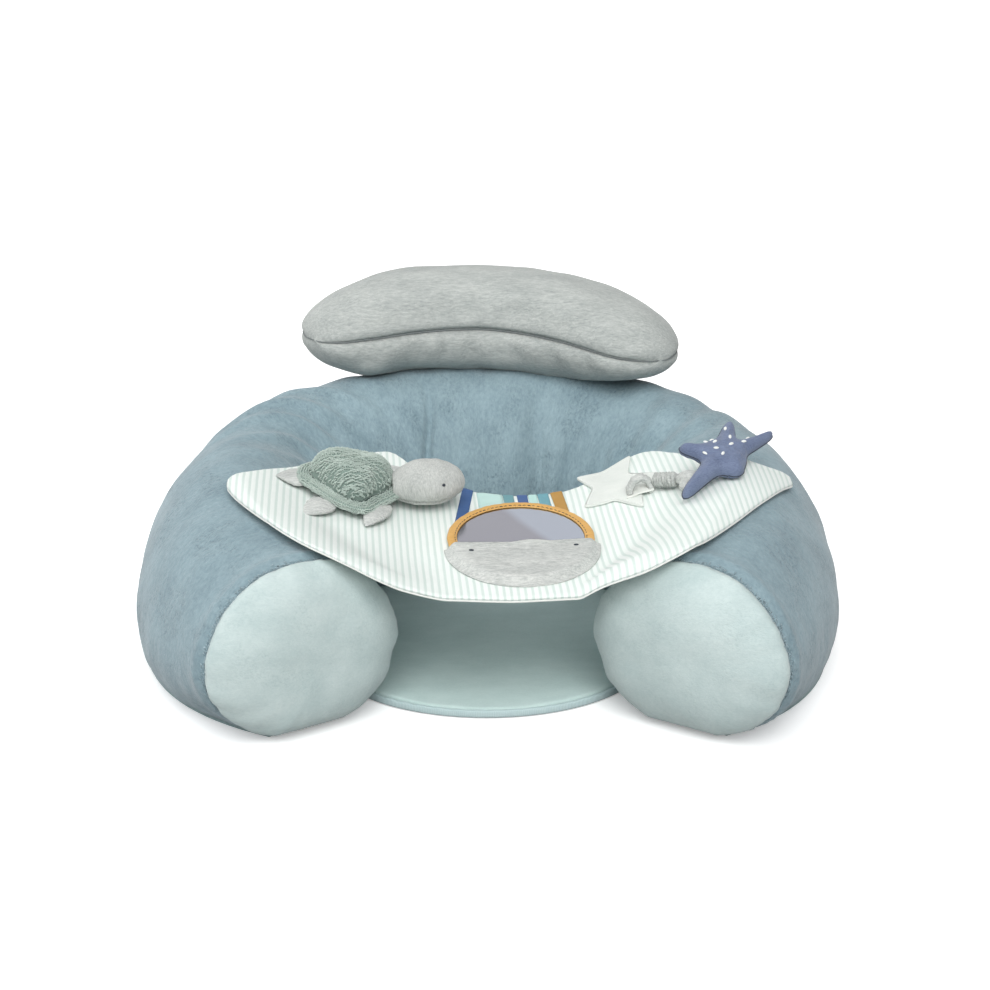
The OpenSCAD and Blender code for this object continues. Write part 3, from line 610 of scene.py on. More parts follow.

# %% [markdown]
# ### Mirror sheet and metal
# The mirror is a bendy plastic sheet, so it is a little hazy and its reflections swim. Its colour is split
# along a slanted line, lilac on one side and bluer on the other, a painted reflection. The zip's slider and
# stops are cast metal.

# %% Mirror sheet
mirror_sheet, tree, shader = start_material("mirror_sheet")
place = put(tree, "TexCoord").outputs["Object"]
axes = put(tree, "SeparateXYZ", {0: rotated(tree, place, (0, 0, -34))})
soft = speckle(tree, place, 25, 1).outputs[0]
# painted reflection: the base colour turns from lilac to bluer along a slanted line
side = plus_times(tree, soft, 0.006, axes.outputs["X"])
painted_reflection_split = ranged(tree, side, -0.036, -0.026, interpolation_type="SMOOTHSTEP")
tree.links.new(colour_mix(tree, painted_reflection_split, rgb(158, 158, 166), rgb(176, 182, 194)), shader.inputs["Base Color"])
smudge = speckle(tree, place, 90, 4).outputs[0]
tree.links.new(ranged(tree, smudge, to_low=0.05, to_high=0.22), shader.inputs["Roughness"])
tree.links.new(bumped(tree, soft, 0.08, 0.004), shader.inputs["Normal"])
shader.inputs["Metallic"].default_value = 1.0

# %% Zip metal
zip_metal, tree, shader = start_material("zip_metal")
scratch = grainy(tree, put(tree, "TexCoord").outputs["Object"], 0.0012, 3, 0.6, (6, 1, 1))
tree.links.new(colour_mix(tree, scratch, rgb(150, 155, 160), rgb(196, 200, 204)), shader.inputs["Base Color"])
tree.links.new(ranged(tree, scratch, to_low=0.25, to_high=0.5), shader.inputs["Roughness"])
tree.links.new(bumped(tree, scratch, 0.2, 0.0002), shader.inputs["Normal"])
shader.inputs["Metallic"].default_value = 1.0
print("materials:", len(bpy.data.materials))

# %% [markdown]
# ## The bolster
# A horseshoe tube of plush: two arms that bend in to their flat ends, and a fuller back. Its section is an
# arch whose widest place is low, and whose foot is flat on the base. The numbers are the CAD's own, so the
# fine skin lies where the solid does.

# %% Sizes of the bolster
bolster_w, arm_l, back_l, arm_end_x, arm_shift = 626, 208, 169, 156, 8
side_w, back_w, end_w, side_h, back_h, end_h, end_bulge = 187, 190, 174, 175, 203, 147, 33
base_t, waist, end_waist, crown, arm_bend, back_plan, dome_full = 3, 0.276, 0.46, 1.18, 2.1, 0.765, 0.66
foot_out, foot_in, foot_end = 0.95, 0.82, 0.36
side_x = (bolster_w - side_w) / 2
sole = base_t + 0.3


def arm_part(y):
    return share(-np.asarray(y, float) / arm_l)


def arm_x(y):
    return mix(side_x, arm_end_x, arm_part(y) ** arm_bend)


def arm_push(y):
    return arm_shift * arm_part(y) ** 2


def arm_lean(y):
    return np.arctan(arm_bend * (side_x - arm_end_x) / arm_l * arm_part(y) ** (arm_bend - 1))


def arm_half(y):
    return mix(side_w, end_w, arm_part(y)) / 2


def arm_h(y):
    return mix(side_h, end_h, arm_part(y))


def arm_round(y):
    return arm_part(y) ** 3


# %% One section of the bolster
arch_steps, floor_steps = 132, 22
columns = arch_steps + floor_steps


def section_ring(half, height, rounding):
    """From the outer foot over the crest to the inner foot, evenly spaced, and back along the floor."""
    first = -math.acos(mix(foot_out, foot_end, rounding))
    last = math.pi + math.acos(mix(foot_in, foot_end, rounding))
    waist_z = height * mix(waist, end_waist, rounding)
    a = np.linspace(first, last, 400)
    z = waist_z + (height - waist_z) * np.maximum(np.sin(a), 0) ** mix(crown, 1, rounding)
    for end, past in ((first, a < 0), (last, a > np.pi)):
        z = np.where(past, waist_z - (waist_z - sole) * np.sin(a) / math.sin(end), z)
    line = np.stack([half * np.cos(a), z], axis=1)
    walk = walked(line)
    arch = read_at(np.linspace(0, walk[-1], arch_steps), walk, line)
    return np.vstack([arch, np.linspace(arch[-1], arch[0], floor_steps + 2)[1:-1]])


# %% The line that the sections stand on
def arm_station(side, y):
    lean = arm_lean(y)
    return (side * arm_x(y) + arm_push(y), y, side * math.cos(lean), -math.sin(lean), arm_half(y), arm_h(y),
            arm_round(y))


def horseshoe(step):
    """Places along the middle of the tube: x, y, outward direction, half width, height, roundness."""
    places = [arm_station(-1, y) for y in np.linspace(-arm_l, -0.5, 160)]
    for a in np.radians(np.linspace(-90, 90, 500)):
        sine, cosine = math.sin(a), max(math.cos(a), 0)
        places.append((side_x * power(sine, back_plan), back_l * cosine ** back_plan, sine, cosine,
                       mix(side_w, back_w, cosine ** 2) / 2, mix(side_h, back_h, cosine ** 2), 0))
    places += [arm_station(1, y) for y in np.linspace(-0.5, -arm_l, 160)]
    places = np.array(places, float)
    walk = walked(places[:, :2])
    even = np.linspace(0, walk[-1], round(walk[-1] / step) + 1)
    return read_at(even, walk, places), even


station_gap = 3.6
stations, run = horseshoe(station_gap)
run = run - run[-1] / 2
print("the tube is", round(run[-1] * 2), "mm long in", len(stations), "sections")


# %% Rows of the tube, and of the domes that close its ends
def tube_ring(x, y, dx, dy, half, height, rounding):
    section = section_ring(half, height, rounding)
    return np.stack([x + dx * section[:, 0], y + dy * section[:, 0], section[:, 1]], axis=1)


def dome_rings(side, count=34):
    lean, x = arm_lean(-arm_l), side * arm_end_x + arm_shift
    section = section_ring(end_w / 2, end_h, 1)
    middle = end_h * end_waist
    rings = []
    for w in np.linspace(0, 1, count + 1)[1:]:
        part = max(0.02, 1 - w ** 1.45)
        out = end_bulge * math.sin(math.acos(min(1, part ** (1 / dome_full))))
        across = section[:, 0] * part
        rings.append(np.stack([x + side * (math.cos(lean) * across - math.sin(lean) * out),
                               -arm_l - math.sin(lean) * across - math.cos(lean) * out,
                               middle + (section[:, 1] - middle) * part], axis=1))
    return rings


left_dome, right_dome = dome_rings(-1), dome_rings(1)
tube_start = [tube_ring(*station) for station in stations]
rings = np.concatenate([left_dome[::-1], tube_start, right_dome])
dome_count = len(left_dome)
points, faces = skin(rings)
print("bolster skin:", len(points), "points")

# %% [markdown]
# ### Where the tray lies
# The tray comes later, but its shape is worked out here, because it presses on the bolster. It is laid over
# the arms and hangs between them, and its outline follows a table of marks.

# %% Shape of the tray
lift_off, plane_half, tray_shift, tray_y, tray_turn = 4.2, 76, 23, -63, 5
tray_tilt, tray_sag, tray_t, crease = 8, 33, 5.6, 14
tray_half, tray_front, tray_back, tip_round = side_x + 49 / 2, 162, 108, 0.994
tan_tilt = math.tan(math.radians(tray_tilt))
turn_cos, turn_sin = math.cos(math.radians(tray_turn)), math.sin(math.radians(tray_turn))


def crest_x(side, y):
    return side * arm_x(y) + arm_push(y)


def arm_top(x, y):
    """Height of an arm's top, and of the dome that closes it in front."""
    side = np.where(x < 0, -1, 1)
    beyond = np.minimum(1, np.maximum(0, -arm_l - y) / end_bulge)
    y = np.maximum(y, -arm_l)
    part = np.maximum(0.02, 1 - beyond ** 2) ** (dome_full / 2)
    across = side * (x - crest_x(side, y)) * np.cos(arm_lean(y)) / (arm_half(y) * part)
    waist_z = arm_h(y) * mix(waist, end_waist, arm_round(y))
    arch = np.maximum(0, 1 - across ** 2) ** (mix(crown, 1, arm_round(y)) / 2)
    return waist_z + (arm_h(y) - waist_z) * part * arch


def middle_z(y):
    return float(arm_h(tray_y)) + lift_off - tray_sag + (y - tray_y) * tan_tilt


def soft_max(a, b, width):
    """The higher of two surfaces, with the crease between them rounded."""
    near = np.maximum(0, 1 - abs(a - b) / width)
    return np.maximum(a, b) + near ** 2 * width / 4


def under(x, y):
    """Height of the tray's underside: hung between the arms, and laid over them."""
    side = np.where(x < tray_shift, -1, 1)
    out = abs(x - tray_shift)
    crest = abs(crest_x(side, y) - tray_shift)
    flat_half = plane_half - 25 * ease((-150 - y) / 65)
    t = (out - flat_half) / (crest - flat_half)
    inside = share(t)
    hang = 1.14 * inside ** 2 / (inside + 0.14)
    hung = mix(middle_z(y), arm_h(y) + lift_off, hang) - 60 * np.maximum(0, t - 1)
    return soft_max(arm_top(x, y) + lift_off, hung, crease)


def at(p, r):
    """A place over the tray: p to the right along the line of its tips, r to the back."""
    return tray_shift + p * turn_cos - r * turn_sin, tray_y + p * turn_sin + r * turn_cos


def tray_place(x, y):
    """The other way round: p and r of a place."""
    x, y = x - tray_shift, y - tray_y
    return x * turn_cos + y * turn_sin, y * turn_cos - x * turn_sin


# %% Outline of the tray, as in CAD: shares of its half width, then of its depth
front_marks = ((-1, 0.074), (-0.975, 0.191), (-0.943, 0.284), (-0.873, 0.469), (-0.807, 0.617),
    (-0.738, 0.741), (-0.668, 0.84), (-0.594, 0.886), (-0.512, 0.92), (-0.422, 0.93), (-0.328, 0.94),
    (-0.262, 0.945), (-0.164, 0.97), (-0.057, 0.99), (0.189, 0.985), (0.279, 1.025), (0.348, 1.045),
    (0.406, 1.04), (0.484, 1.005), (0.553, 0.93), (0.635, 0.795), (0.721, 0.64), (0.791, 0.5),
    (0.865, 0.352), (0.934, 0.198), (0.975, 0.105), (1, 0.062))
back_marks = ((-1, 0.01), (-0.951, 0.028), (-0.881, 0.148), (-0.82, 0.287), (-0.75, 0.426),
    (-0.668, 0.574), (-0.586, 0.722), (-0.512, 0.852), (-0.459, 0.935), (-0.422, 0.963), (-0.402, 0.954),
    (-0.389, 0.9), (-0.352, 0.75), (-0.307, 0.611), (-0.242, 0.454), (-0.176, 0.333), (-0.143, 0.259),
    (-0.09, 0.194), (-0.041, 0.163), (0.012, 0.137), (0.066, 0.125), (0.123, 0.132), (0.176, 0.157),
    (0.238, 0.227), (0.295, 0.33), (0.328, 0.426), (0.361, 0.528), (0.393, 0.583), (0.422, 0.62),
    (0.455, 0.653), (0.504, 0.685), (0.537, 0.662), (0.578, 0.583), (0.615, 0.454), (0.656, 0.315),
    (0.697, 0.176), (0.738, 0.06), (0.779, -0.009), (0.807, -0.039), (0.848, -0.062), (0.893, -0.063),
    (0.947, -0.028), (0.984, 0.009), (1, 0.012))


def rounded(marks, soft):
    """A table through marks with its corners rounded."""
    spots = np.linspace(-1.06, 1.06, 1061)
    values = np.interp(spots, *zip(*marks))
    bell = hump(np.arange(-3 * soft, 3 * soft + 1), 0, soft * 1.4)
    return spots, np.convolve(np.pad(values, 3 * soft, mode="edge"), bell / bell.sum(), mode="valid")


front_table, back_table = rounded(front_marks, 14), rounded(back_marks, 9)


def front_edge(p):
    return -tray_front * np.interp(np.asarray(p, float) / tray_half, *front_table)


def back_edge(p):
    return tray_back * np.interp(np.asarray(p, float) / tray_half, *back_table)


def tray_soft(x, y):
    """Small unevenness of the padding, the same for all that lies on it."""
    spots = np.column_stack([np.ravel(x), np.ravel(y), np.zeros(np.size(x))])
    return (drift(spots, 70, 21) * 1.2 + drift(spots, 26, 22) * 0.6).reshape(np.shape(x)) * 0.8 - 0.3


def tray_top_at(p, r, up=0.0):
    """A place on the tray's top cloth."""
    x, y = at(np.asarray(p, float), np.asarray(r, float))
    return np.stack([x, y, under(x, y) + tray_t + tray_soft(x, y) + up], axis=-1)


print("tray edge in the middle of its cut-out:", round(float(back_edge(16)), 1), "mm behind the tips")

# %% [markdown]
# ### Stuffing, seams and folds of the bolster
# The stuffing rounds the form. Then the cloth's own story is added along its outward directions: the seam
# round each end panel pulls in and puckers, the inside of the bend has too much cloth and falls into folds,
# and the left shoulder shows a fan of ridges. The folds have the places that the photograph shows.

# %% Stuff the bolster
points = stuffed("bolster", points, faces, grain=7, pressure=3.5, cap=6, frames=14,
    keep=lambda p: p[:, 2] < 9)
points[:, 2] = np.maximum(points[:, 2], sole)
off = outward(points, faces)

# %% Where each point is on the tube
index = np.arange(len(points))
last_tube_row = len(rings) - dome_count - 1
row = np.minimum(index // columns, len(rings) - 1)
column = np.where(index < len(rings) * columns, index % columns, arch_steps // 2)
along_tube = np.concatenate([[run[0]] * dome_count, run, [run[-1]] * dome_count])[row]
around = np.clip(column / (arch_steps - 1), 0, 1.2)
on_tube = (row >= dome_count) & (row <= last_tube_row)
from_seam = np.minimum(abs(row - dome_count), abs(row - last_tube_row)).astype(float)
dome_walk = walked(np.array([tube_start[0][60]] + [ring[60] for ring in left_dome]))
on_dome = np.interp(from_seam, np.arange(dome_count + 1), dome_walk)
seam_gap = np.where(on_tube, from_seam * station_gap, on_dome)
above = ~on_tube | (column < arch_steps)
upper = share((points[:, 2] - base_t - 4) / 14)
low_fade = share((points[:, 2] - base_t) / 14)

# %% Folds
lift = (drift(points, 105, 1) * 3.4 + drift(points, 48, 2) * 1.7 + drift(points, 21, 3) * 0.55) * 1.05
bent_along = along_tube + 14 * drift(points, 60, 4)


def window(low, high, low_soft, high_soft):
    """1 between two shares of the way round the section, with soft ends."""
    return share((around - low) / low_soft) * share((high - around) / high_soft)


# the fan of ridges over the left shoulder, from the inner corner outwards
ridge = (0.5 + 0.5 * np.sin(2 * np.pi * (bent_along - 330 * (around - 0.5)) / 43)) ** 2.2
lift += 4.8 * hump(along_tube, -222, 80) * window(0.3, 0.9, 0.14, 0.14) * (ridge - 0.3)
# upright folds down the inner wall of the back: place along the tube, depth and width
inner = window(0.52, 1.02, 0.13, 0.1)
for place, depth, width in ((-62, 9.0, 6), (-84, -2.6, 10), (62, 6.5, 13), (30, -2.4, 12), (114, 3.4, 10),
                            (-118, 2.6, 10), (-160, 2.4, 10), (168, 3.4, 14), (222, 3.0, 16)):
    lean_fold = place + 16 * drift(points, 70, place) + (around - 0.75) * (18 if place < 0 else -26)
    lift -= depth * inner * hump(along_tube, lean_fold, width)
# soft slanting folds on the right shoulder
slant = hump(along_tube, 215, 60) * window(0.3, 0.9, 0.2, 0.15)
lift += 2.3 * slant * np.sin(2 * np.pi * (bent_along - 110 * around) / 44)
# low on the outside the cloth gathers towards its foot
foot = share((0.2 - around) / 0.2) * on_tube
lift += 1.3 * foot * np.sin(2 * np.pi * bent_along / 23 + 3 * drift(points, 50, 5))

# %% Seams round the end panels
turn_round = column / columns
scallops = 0.5 + 0.5 * np.sin(2 * np.pi * (turn_round * 34 + 1.6 * drift(points, 40, 6)))
groove = -3.4 * hump(seam_gap, 0, 4.2)
roll = np.where(on_tube, 2.0, 0.9) * hump(seam_gap, 9, 6)
tucks = -(0.6 + 1.2 * scallops) * np.exp(-seam_gap / np.where(on_tube, 13, 8)) * (seam_gap > 0)
pinch = 5.0 * hump(turn_round, 0.71, 0.03) * np.exp(-seam_gap / 22)
lift += (groove + roll + tucks - pinch) * upper
long_tucks = np.exp(-seam_gap / 26) * np.sin(2 * np.pi * (turn_round * 15 + drift(points, 60, 7)))
lift += 0.7 * long_tucks * ~on_tube * share((60 - seam_gap) / 30)
lift *= above * low_fade
points = points + off * lift[:, None]
points[:, 2] = np.maximum(points[:, 2], sole)

# %% The tray presses on the plush
p_there, r_there = tray_place(points[:, 0], points[:, 1])
covered = (abs(p_there) < tray_half) & (points[:, 2] > 85)
covered &= (r_there > front_edge(p_there) - 1) & (r_there < back_edge(p_there) + 1)
ceiling = under(points[:, 0], points[:, 1]) - 1.3
pressed = covered & (points[:, 2] > ceiling)
points[pressed, 2] = ceiling[pressed]
print("the tray presses", int(pressed.sum()), "points down")
print("folds from", round(lift.min(), 1), "to", round(lift.max(), 1), "mm")

# %% Cut the bolster into its cover and its two end panels
grid, normals = (a[:len(rings) * columns].reshape(len(rings), columns, 3) for a in (points, off))
tube_rows = grid[dome_count:last_tube_row + 1]
walk = walked(tube_rows[len(tube_rows) // 2])
walk = np.append(walk, walk[-1] + 4)
i, j = np.meshgrid(np.arange(len(tube_rows) - 1), np.arange(columns), indexing="ij")
corners = ((i, j), (i, j + 1), (i + 1, j + 1), (i + 1, j))
cover_flat = np.stack([np.stack([walk[b], run[a]], axis=-1) for a, b in corners], axis=2).reshape(-1, 2)
end_fans = np.zeros((6 * columns, 2))
piece("bolster_cover", skin(tube_rows), plush, "seat", "ring_cover ring_filling",
    flat=np.vstack([cover_flat, end_fans]))
for side, rows in (("left", grid[:dome_count + 1]), ("right", grid[last_tube_row:][::-1])):
    piece("end_panel_" + side, skin(rows), velour, "seat", side + "_end_panel")

# %% Tufts of pile that lean over the seams
tuft_dice = np.random.default_rng(11)
tuft_parts, tufts_a_side = [], 1500
for row_at, step in ((dome_count, 1), (last_tube_row, -1)):
    for _ in range(tufts_a_side):
        k = tuft_dice.uniform(0, arch_steps - 1)
        back_by = abs(tuft_dice.normal(0, 0.5))
        low_k, part_k = int(k), k - int(k)
        row_a = row_at + step * int(back_by)
        near, far = (mix(grid[r, low_k], grid[r, low_k + 1], part_k) for r in (row_a, row_a + step))
        root = mix(near, far, back_by % 1)
        if root[2] < 12:
            continue
        up = normals[row_a, low_k]
        ahead = unit(grid[row_a, low_k] - grid[row_a + step, low_k])
        lean = unit(ahead * tuft_dice.uniform(0.7, 1.2) + up * tuft_dice.uniform(0.25, 0.6)
                    + np.cross(up, ahead) * tuft_dice.normal(0, 0.35))
        length = tuft_dice.uniform(2.0, 4.2)
        side = unit(np.cross(lean, up))
        over = np.cross(side, lean)
        wide = tuft_dice.uniform(0.4, 0.75)
        corners = [math.cos(t) * side + math.sin(t) * over for t in (0.5, 2.6, 4.7)]
        spine = ((-up * 0.6, wide), (lean * length * 0.55, wide * 0.75), (lean * length + ahead * 0.7, 0.12))
        tuft_parts.append(skin([[root + way + corner * thick for corner in corners] for way, thick in spine]))
piece("seam_tufts", joined(tuft_parts), tuft_pile, "seat")
print("tufts:", len(tuft_parts))

# %% [markdown]
# ## Base, zip and seat mat
# The base is one sewn cloth panel with padding under the stuffing. Nobody sees it from the front, but it is
# there when the seat is turned over, with the zip where the filling goes in. The mat is a foam pad in pale
# velour, with a turned edge across its round front.

# %% Outlines on the base
pad_turn_y, pad_front = -60, 187


def pad_half(more):
    return float(arm_x(pad_turn_y) - foot_in * arm_half(pad_turn_y) + more)


def pad_arc(more, first=0, last=180, steps=90):
    a = np.radians(np.linspace(first, last, steps + 1))
    return np.stack([float(arm_push(pad_turn_y)) + pad_half(more) * np.cos(a),
                     pad_turn_y - (pad_front + pad_turn_y + more) * np.sin(a)], axis=1)


def foot_line(foot, inset, side):
    """Where the bolster stands, on one side of its middle line and nearer to that line by inset."""
    reach = side * (stations[:, 4] * mix(foot, foot_end, stations[:, 6]) - inset)
    return stations[:, :2] + stations[:, 2:4] * reach[:, None]


def well_outline(more, steps=220):
    inner_foot = foot_line(foot_in, more, -1)
    return evenly(np.vstack([inner_foot[inner_foot[:, 1] > pad_turn_y], pad_arc(more)]), steps)


print("well outline:", np.round(np.ptp(well_outline(-6), axis=0)), "mm")


# %% A pad with rounded edges over an outline
def pad_rings(outline, low, high, edge, middle, crown_up, steps):
    """Rings from the middle of the underside, round the edge, to the middle of the top."""
    centre = np.array(middle, float)
    size = np.linalg.norm(outline - centre, axis=1).mean()
    marks = [(part * (1 - edge / size), low) for part in np.linspace(0.06, 1, 5)[:-1]]
    marks += [(1 - edge / size * (1 - math.cos(a)), (low + high) / 2 + (high - low) / 2 * math.sin(a))
              for a in np.radians(np.linspace(-90, 90, 9))]
    marks += [(part * (1 - edge / size), high + crown_up * (1 - part ** 2))
              for part in np.linspace(1, 0.03, steps)[1:]]
    return [np.column_stack([centre + (outline - centre) * part, np.full(len(outline), z)])
            for part, z in marks]


# %% Seat mat
mat_points, mat_faces = skin(pad_rings(well_outline(0.8), base_t + 0.2, base_t + 5.0, 3, (4, -45), 0.6, 40))
top_side = share((mat_points[:, 2] - base_t - 3.2) / 1.5)
mat_points[:, 2] += top_side * (drift(mat_points, 62, 11) * 1.1 + drift(mat_points, 24, 12) * 0.45)
piece("seat_mat", (mat_points, mat_faces), mat_velour, "seat", "seat_pad_foam seat_pad_cover")

# %% Turned edge across the mat's round front
line = pad_arc(3.9, 24, 156, 150)
forward = unit(np.gradient(line, axis=0))
edge_rows = []
for i, (place, way) in enumerate(zip(line, forward)):
    ripple = 0.22 * math.sin(i * 0.9) + 0.15 * math.sin(i * 2.3)
    ring = []
    for a in np.radians(np.arange(0, 360, 24)):
        out = 1.75 * power(math.cos(a), 0.6)
        up = 3.2 * power(math.sin(a), 0.6) + ripple * (math.sin(a) > 0)
        ring.append([place[0] - way[1] * out, place[1] + way[0] * out, 4.1 + up])
    edge_rows.append(ring)
piece("mat_edge", skin(edge_rows), mat_edge_cloth, "seat", "seat_pad_binding")

# %% Base panel, with a slot for the zip
zip_y, zip_l, slot_half, slot_end = back_l, 250, 12, 133


def base_sheet(name, outlines, low, high, material, node):
    """A sheet on the base. The outlines after the first are holes in it."""
    shape = bmesh.new()
    edges = []
    for outline in outlines:
        ring = [shape.verts.new((x * MM, y * MM, low * MM)) for x, y in outline]
        edges += [shape.edges.new((ring[i], ring[(i + 1) % len(ring)])) for i in range(len(ring))]
    bmesh.ops.triangle_fill(shape, edges=edges, use_beauty=True)
    bmesh.ops.solidify(shape, geom=shape.faces[:], thickness=(high - low) * MM)
    bmesh.ops.recalc_face_normals(shape, faces=shape.faces)
    mesh = bpy.data.meshes.new(name)
    shape.to_mesh(mesh)
    shape.free()
    places = vertex_places(mesh)
    places[:, 2] += low * MM - places[:, 2].min()
    mesh.vertices.foreach_set("co", places.ravel())
    return placed_in_scene(name, mesh, material, "seat", node)


zip_slot = np.array([(-slot_end, zip_y - slot_half), (slot_end, zip_y - slot_half),
                     (slot_end, zip_y + slot_half), (-slot_end, zip_y + slot_half)])


def whole_outline(inset):
    """The base seen from above: the outer foot, the arms' ends and the mat's front."""
    outer, inner = foot_line(foot_out, inset, 1), foot_line(foot_in, inset, -1)
    arms_low = inner[:, 1] < -70
    left_arm = inner[(stations[:, 0] < 0) & arms_low][:1]
    right_arm = inner[(stations[:, 0] > 0) & arms_low][-1:]
    return np.vstack([outer[::3], right_arm, pad_arc(2 - inset, 8, 172, 60), left_arm])


base_line = whole_outline(0.5)
base = base_sheet("base_underside", [base_line, zip_slot], 0.0, base_t - 0.2, base_cloth, "base_panel")


def measured(line):
    """The width, the length and the area of what a line encloses, in metres."""
    line = np.asarray(line, float) * MM
    ahead = np.roll(line, -1, 0)
    width, length = np.ptp(line, axis=0)
    twice = (line[:, 0] * ahead[:, 1] - line[:, 1] * ahead[:, 0]).sum()
    return (float(width), float(length)), float(abs(twice) / 2)


base_flat, base_area = measured(base_line)
base_area -= measured(zip_slot)[1]
print("base cloth", [round(v, 3) for v in base_flat], "m, area", round(base_area, 4))
print("base box", [tuple(round(v, 3) for v in c) for c in (base.bound_box[0], base.bound_box[6])])

# %% [markdown]
# ## Play tray
# A padded cloth sheet lies over the two arms and hangs a little between them. Its top is striped cotton and
# its backing plain calico, and the two meet in a seam round the rim.

# %% Rows of the tray, close together at its rim
lip_in = np.array([1.0, 0.35, 0.0, 0.3, 1.1, 2.1, 3.3, 4.8])
lip_up = np.array([0.0, 0.08, 0.34, 0.62, 0.85, 0.95, 1.0, 1.0])
tip_in = np.array([0, 0.5, 1.2, 2.1, 3.2, 4.6])
tip_at = tip_round * tray_half


def spaced(low, high, count, rim):
    rim = rim * min(1, (high - low) / 14)
    between = np.linspace(low + rim[-1], high - rim[-1], count)[1:-1]
    return np.concatenate([low + rim, between, high - rim[::-1]])


def tip_pinch(p):
    """The tips are round: each row narrows towards the very end."""
    near = share((abs(p) - tip_at + 9) / 9)
    return 1 - 0.7 * (1 - math.sqrt(max(0, 1 - near ** 2)))


ps = spaced(-tip_at, tip_at, 150, tip_in)
rows_top, rows_low, flats = [], [], []
for p in ps:
    low_r, high_r = float(front_edge(p)), float(back_edge(p))
    middle_r, half_r = (low_r + high_r) / 2, (high_r - low_r) / 2 * tip_pinch(p)
    rs = spaced(middle_r - half_r, middle_r + half_r, 44, lip_in)
    curve = np.concatenate([lip_up, np.ones(len(rs) - 2 * len(lip_up)), lip_up[::-1]])
    tip_curve = math.sqrt(max(0, 1 - (1 - share((tip_at - abs(p)) / 3.0)) ** 2))
    curve = np.minimum(curve, 0.12 + 0.88 * tip_curve)
    distance = np.minimum(np.minimum(rs - rs.min(), rs.max() - rs), tip_at - abs(p))
    x, y = at(np.full_like(rs, p), rs)
    low = under(x, y)
    plump_up = 0.9 * share(distance / 12) - 0.9 + 0.25 * hump(distance, 2.5, 2.0)
    pucker = (0.14 * math.sin(p * 1.15) + 0.1 * math.sin(p * 0.47 + 1)) * hump(distance, 3, 3)
    up = tray_t * 0.45 + (tray_t * 0.55 + tray_soft(x, y) + plump_up + pucker) * curve
    rows_top.append(np.column_stack([x, y, low + up]))
    outwards = np.where(np.arange(len(rs)) < len(rs) / 2, -1, 1)
    x_low, y_low = at(np.full_like(rs, p), rs + outwards * 0.9 * hump(curve, 0.5, 0.45) * (curve > 0.05))
    rows_low.append(np.column_stack([x_low, y_low, low + tray_t * 0.4 - tray_t * 0.4 * curve + 0.02]))
    flats.append(np.column_stack([rs, np.full(len(rs), p)]))
rows_top, rows_low, flats = np.array(rows_top), np.array(rows_low), np.array(flats)
print("tray rows:", rows_top.shape)

# %% Tray top and backing
inside = rows_top.copy()
inside[:, :, 2] = np.maximum(rows_top[:, :, 2] - 2.2, (rows_top[:, :, 2] + rows_low[:, :, 2]) / 2)
form = slab(rows_top, inside)
flat_places = np.concatenate([flats, flats[:, ::-1]], axis=1).reshape(-1, 2)
flat_places = np.vstack([flat_places, [(0, ps[0]), (0, ps[-1])]])
piece("tray_cloth", form, striped, "tray", "tray_top tray_wadding",
    flat=[flat_places[v] for face in form[1] for v in face])
piece("tray_under", slab(inside - [0, 0, 0.15], rows_low), calico, "tray", "tray_backing")


# %% Thread along the rim seam
def tube(line, radius, sides=6):
    """The form of a round cord through a line of points."""
    line = np.asarray(line, float)
    forward = unit(np.gradient(line, axis=0))
    guide = np.array([0, 0, 1.0]) if abs(forward[:, 2]).mean() < 0.8 else np.array([1.0, 0, 0])
    side_way = unit(np.cross(forward, guide))
    up_way = np.cross(side_way, forward)
    radius = np.broadcast_to(radius, (len(line),))[:, None]
    lines = [line + radius * (math.cos(a) * side_way + math.sin(a) * up_way) for a in circle_of(sides)]
    return skin(np.stack(lines, axis=1))


rim_line = np.vstack([rows_top[:, 0], rows_top[-1, 1:-1], rows_top[::-1, -1], rows_top[0, ::-1][1:-1]])
outwards = unit((rim_line - rim_line.mean(axis=0)) * [1, 1, 0])
rim_cord = rim_line - outwards * 0.05 + [0, 0, -0.1]
piece("tray_rim_seam", tube(np.vstack([rim_cord, rim_cord[:2]]), 0.34), rim_thread, "tray")


# %% Fastening patches
def patches(height, surface):
    """A patch over each arm, as far as height over a surface."""
    step = 2 * tip_at / 28
    forms = []
    for first, last in ((1, 2), (23, 25)):
        span = np.linspace(first * step - tip_at, last * step - tip_at, 14)
        p, r = np.meshgrid(span, np.linspace(0, 1, 18), indexing="ij")
        x, y = at(p, mix(front_edge(p), back_edge(p), mix(2 / 6, 5 / 6, r)))
        low = np.stack([x, y, surface(x, y) + height], axis=-1)
        forms.append(slab(low + [0, 0, 1.3], low))
    return joined(forms)


piece("hook_patches", patches(-1.5, under), hook_tape, "tray", "tray_hook_patches")
piece("loop_patches", patches(0.6, arm_top), hook_tape, "seat", "arm_loop_patches")

# %% [markdown]
# ## Ribbons and mirror
# Seven ribbons come over the cut-out's edge and run under a round mirror, whose front half sits in a jersey
# pocket shaped like a whale's head. The mirror is a bendy sheet in a mustard canvas ring, with a dark line
# of stitches along its inner edge.

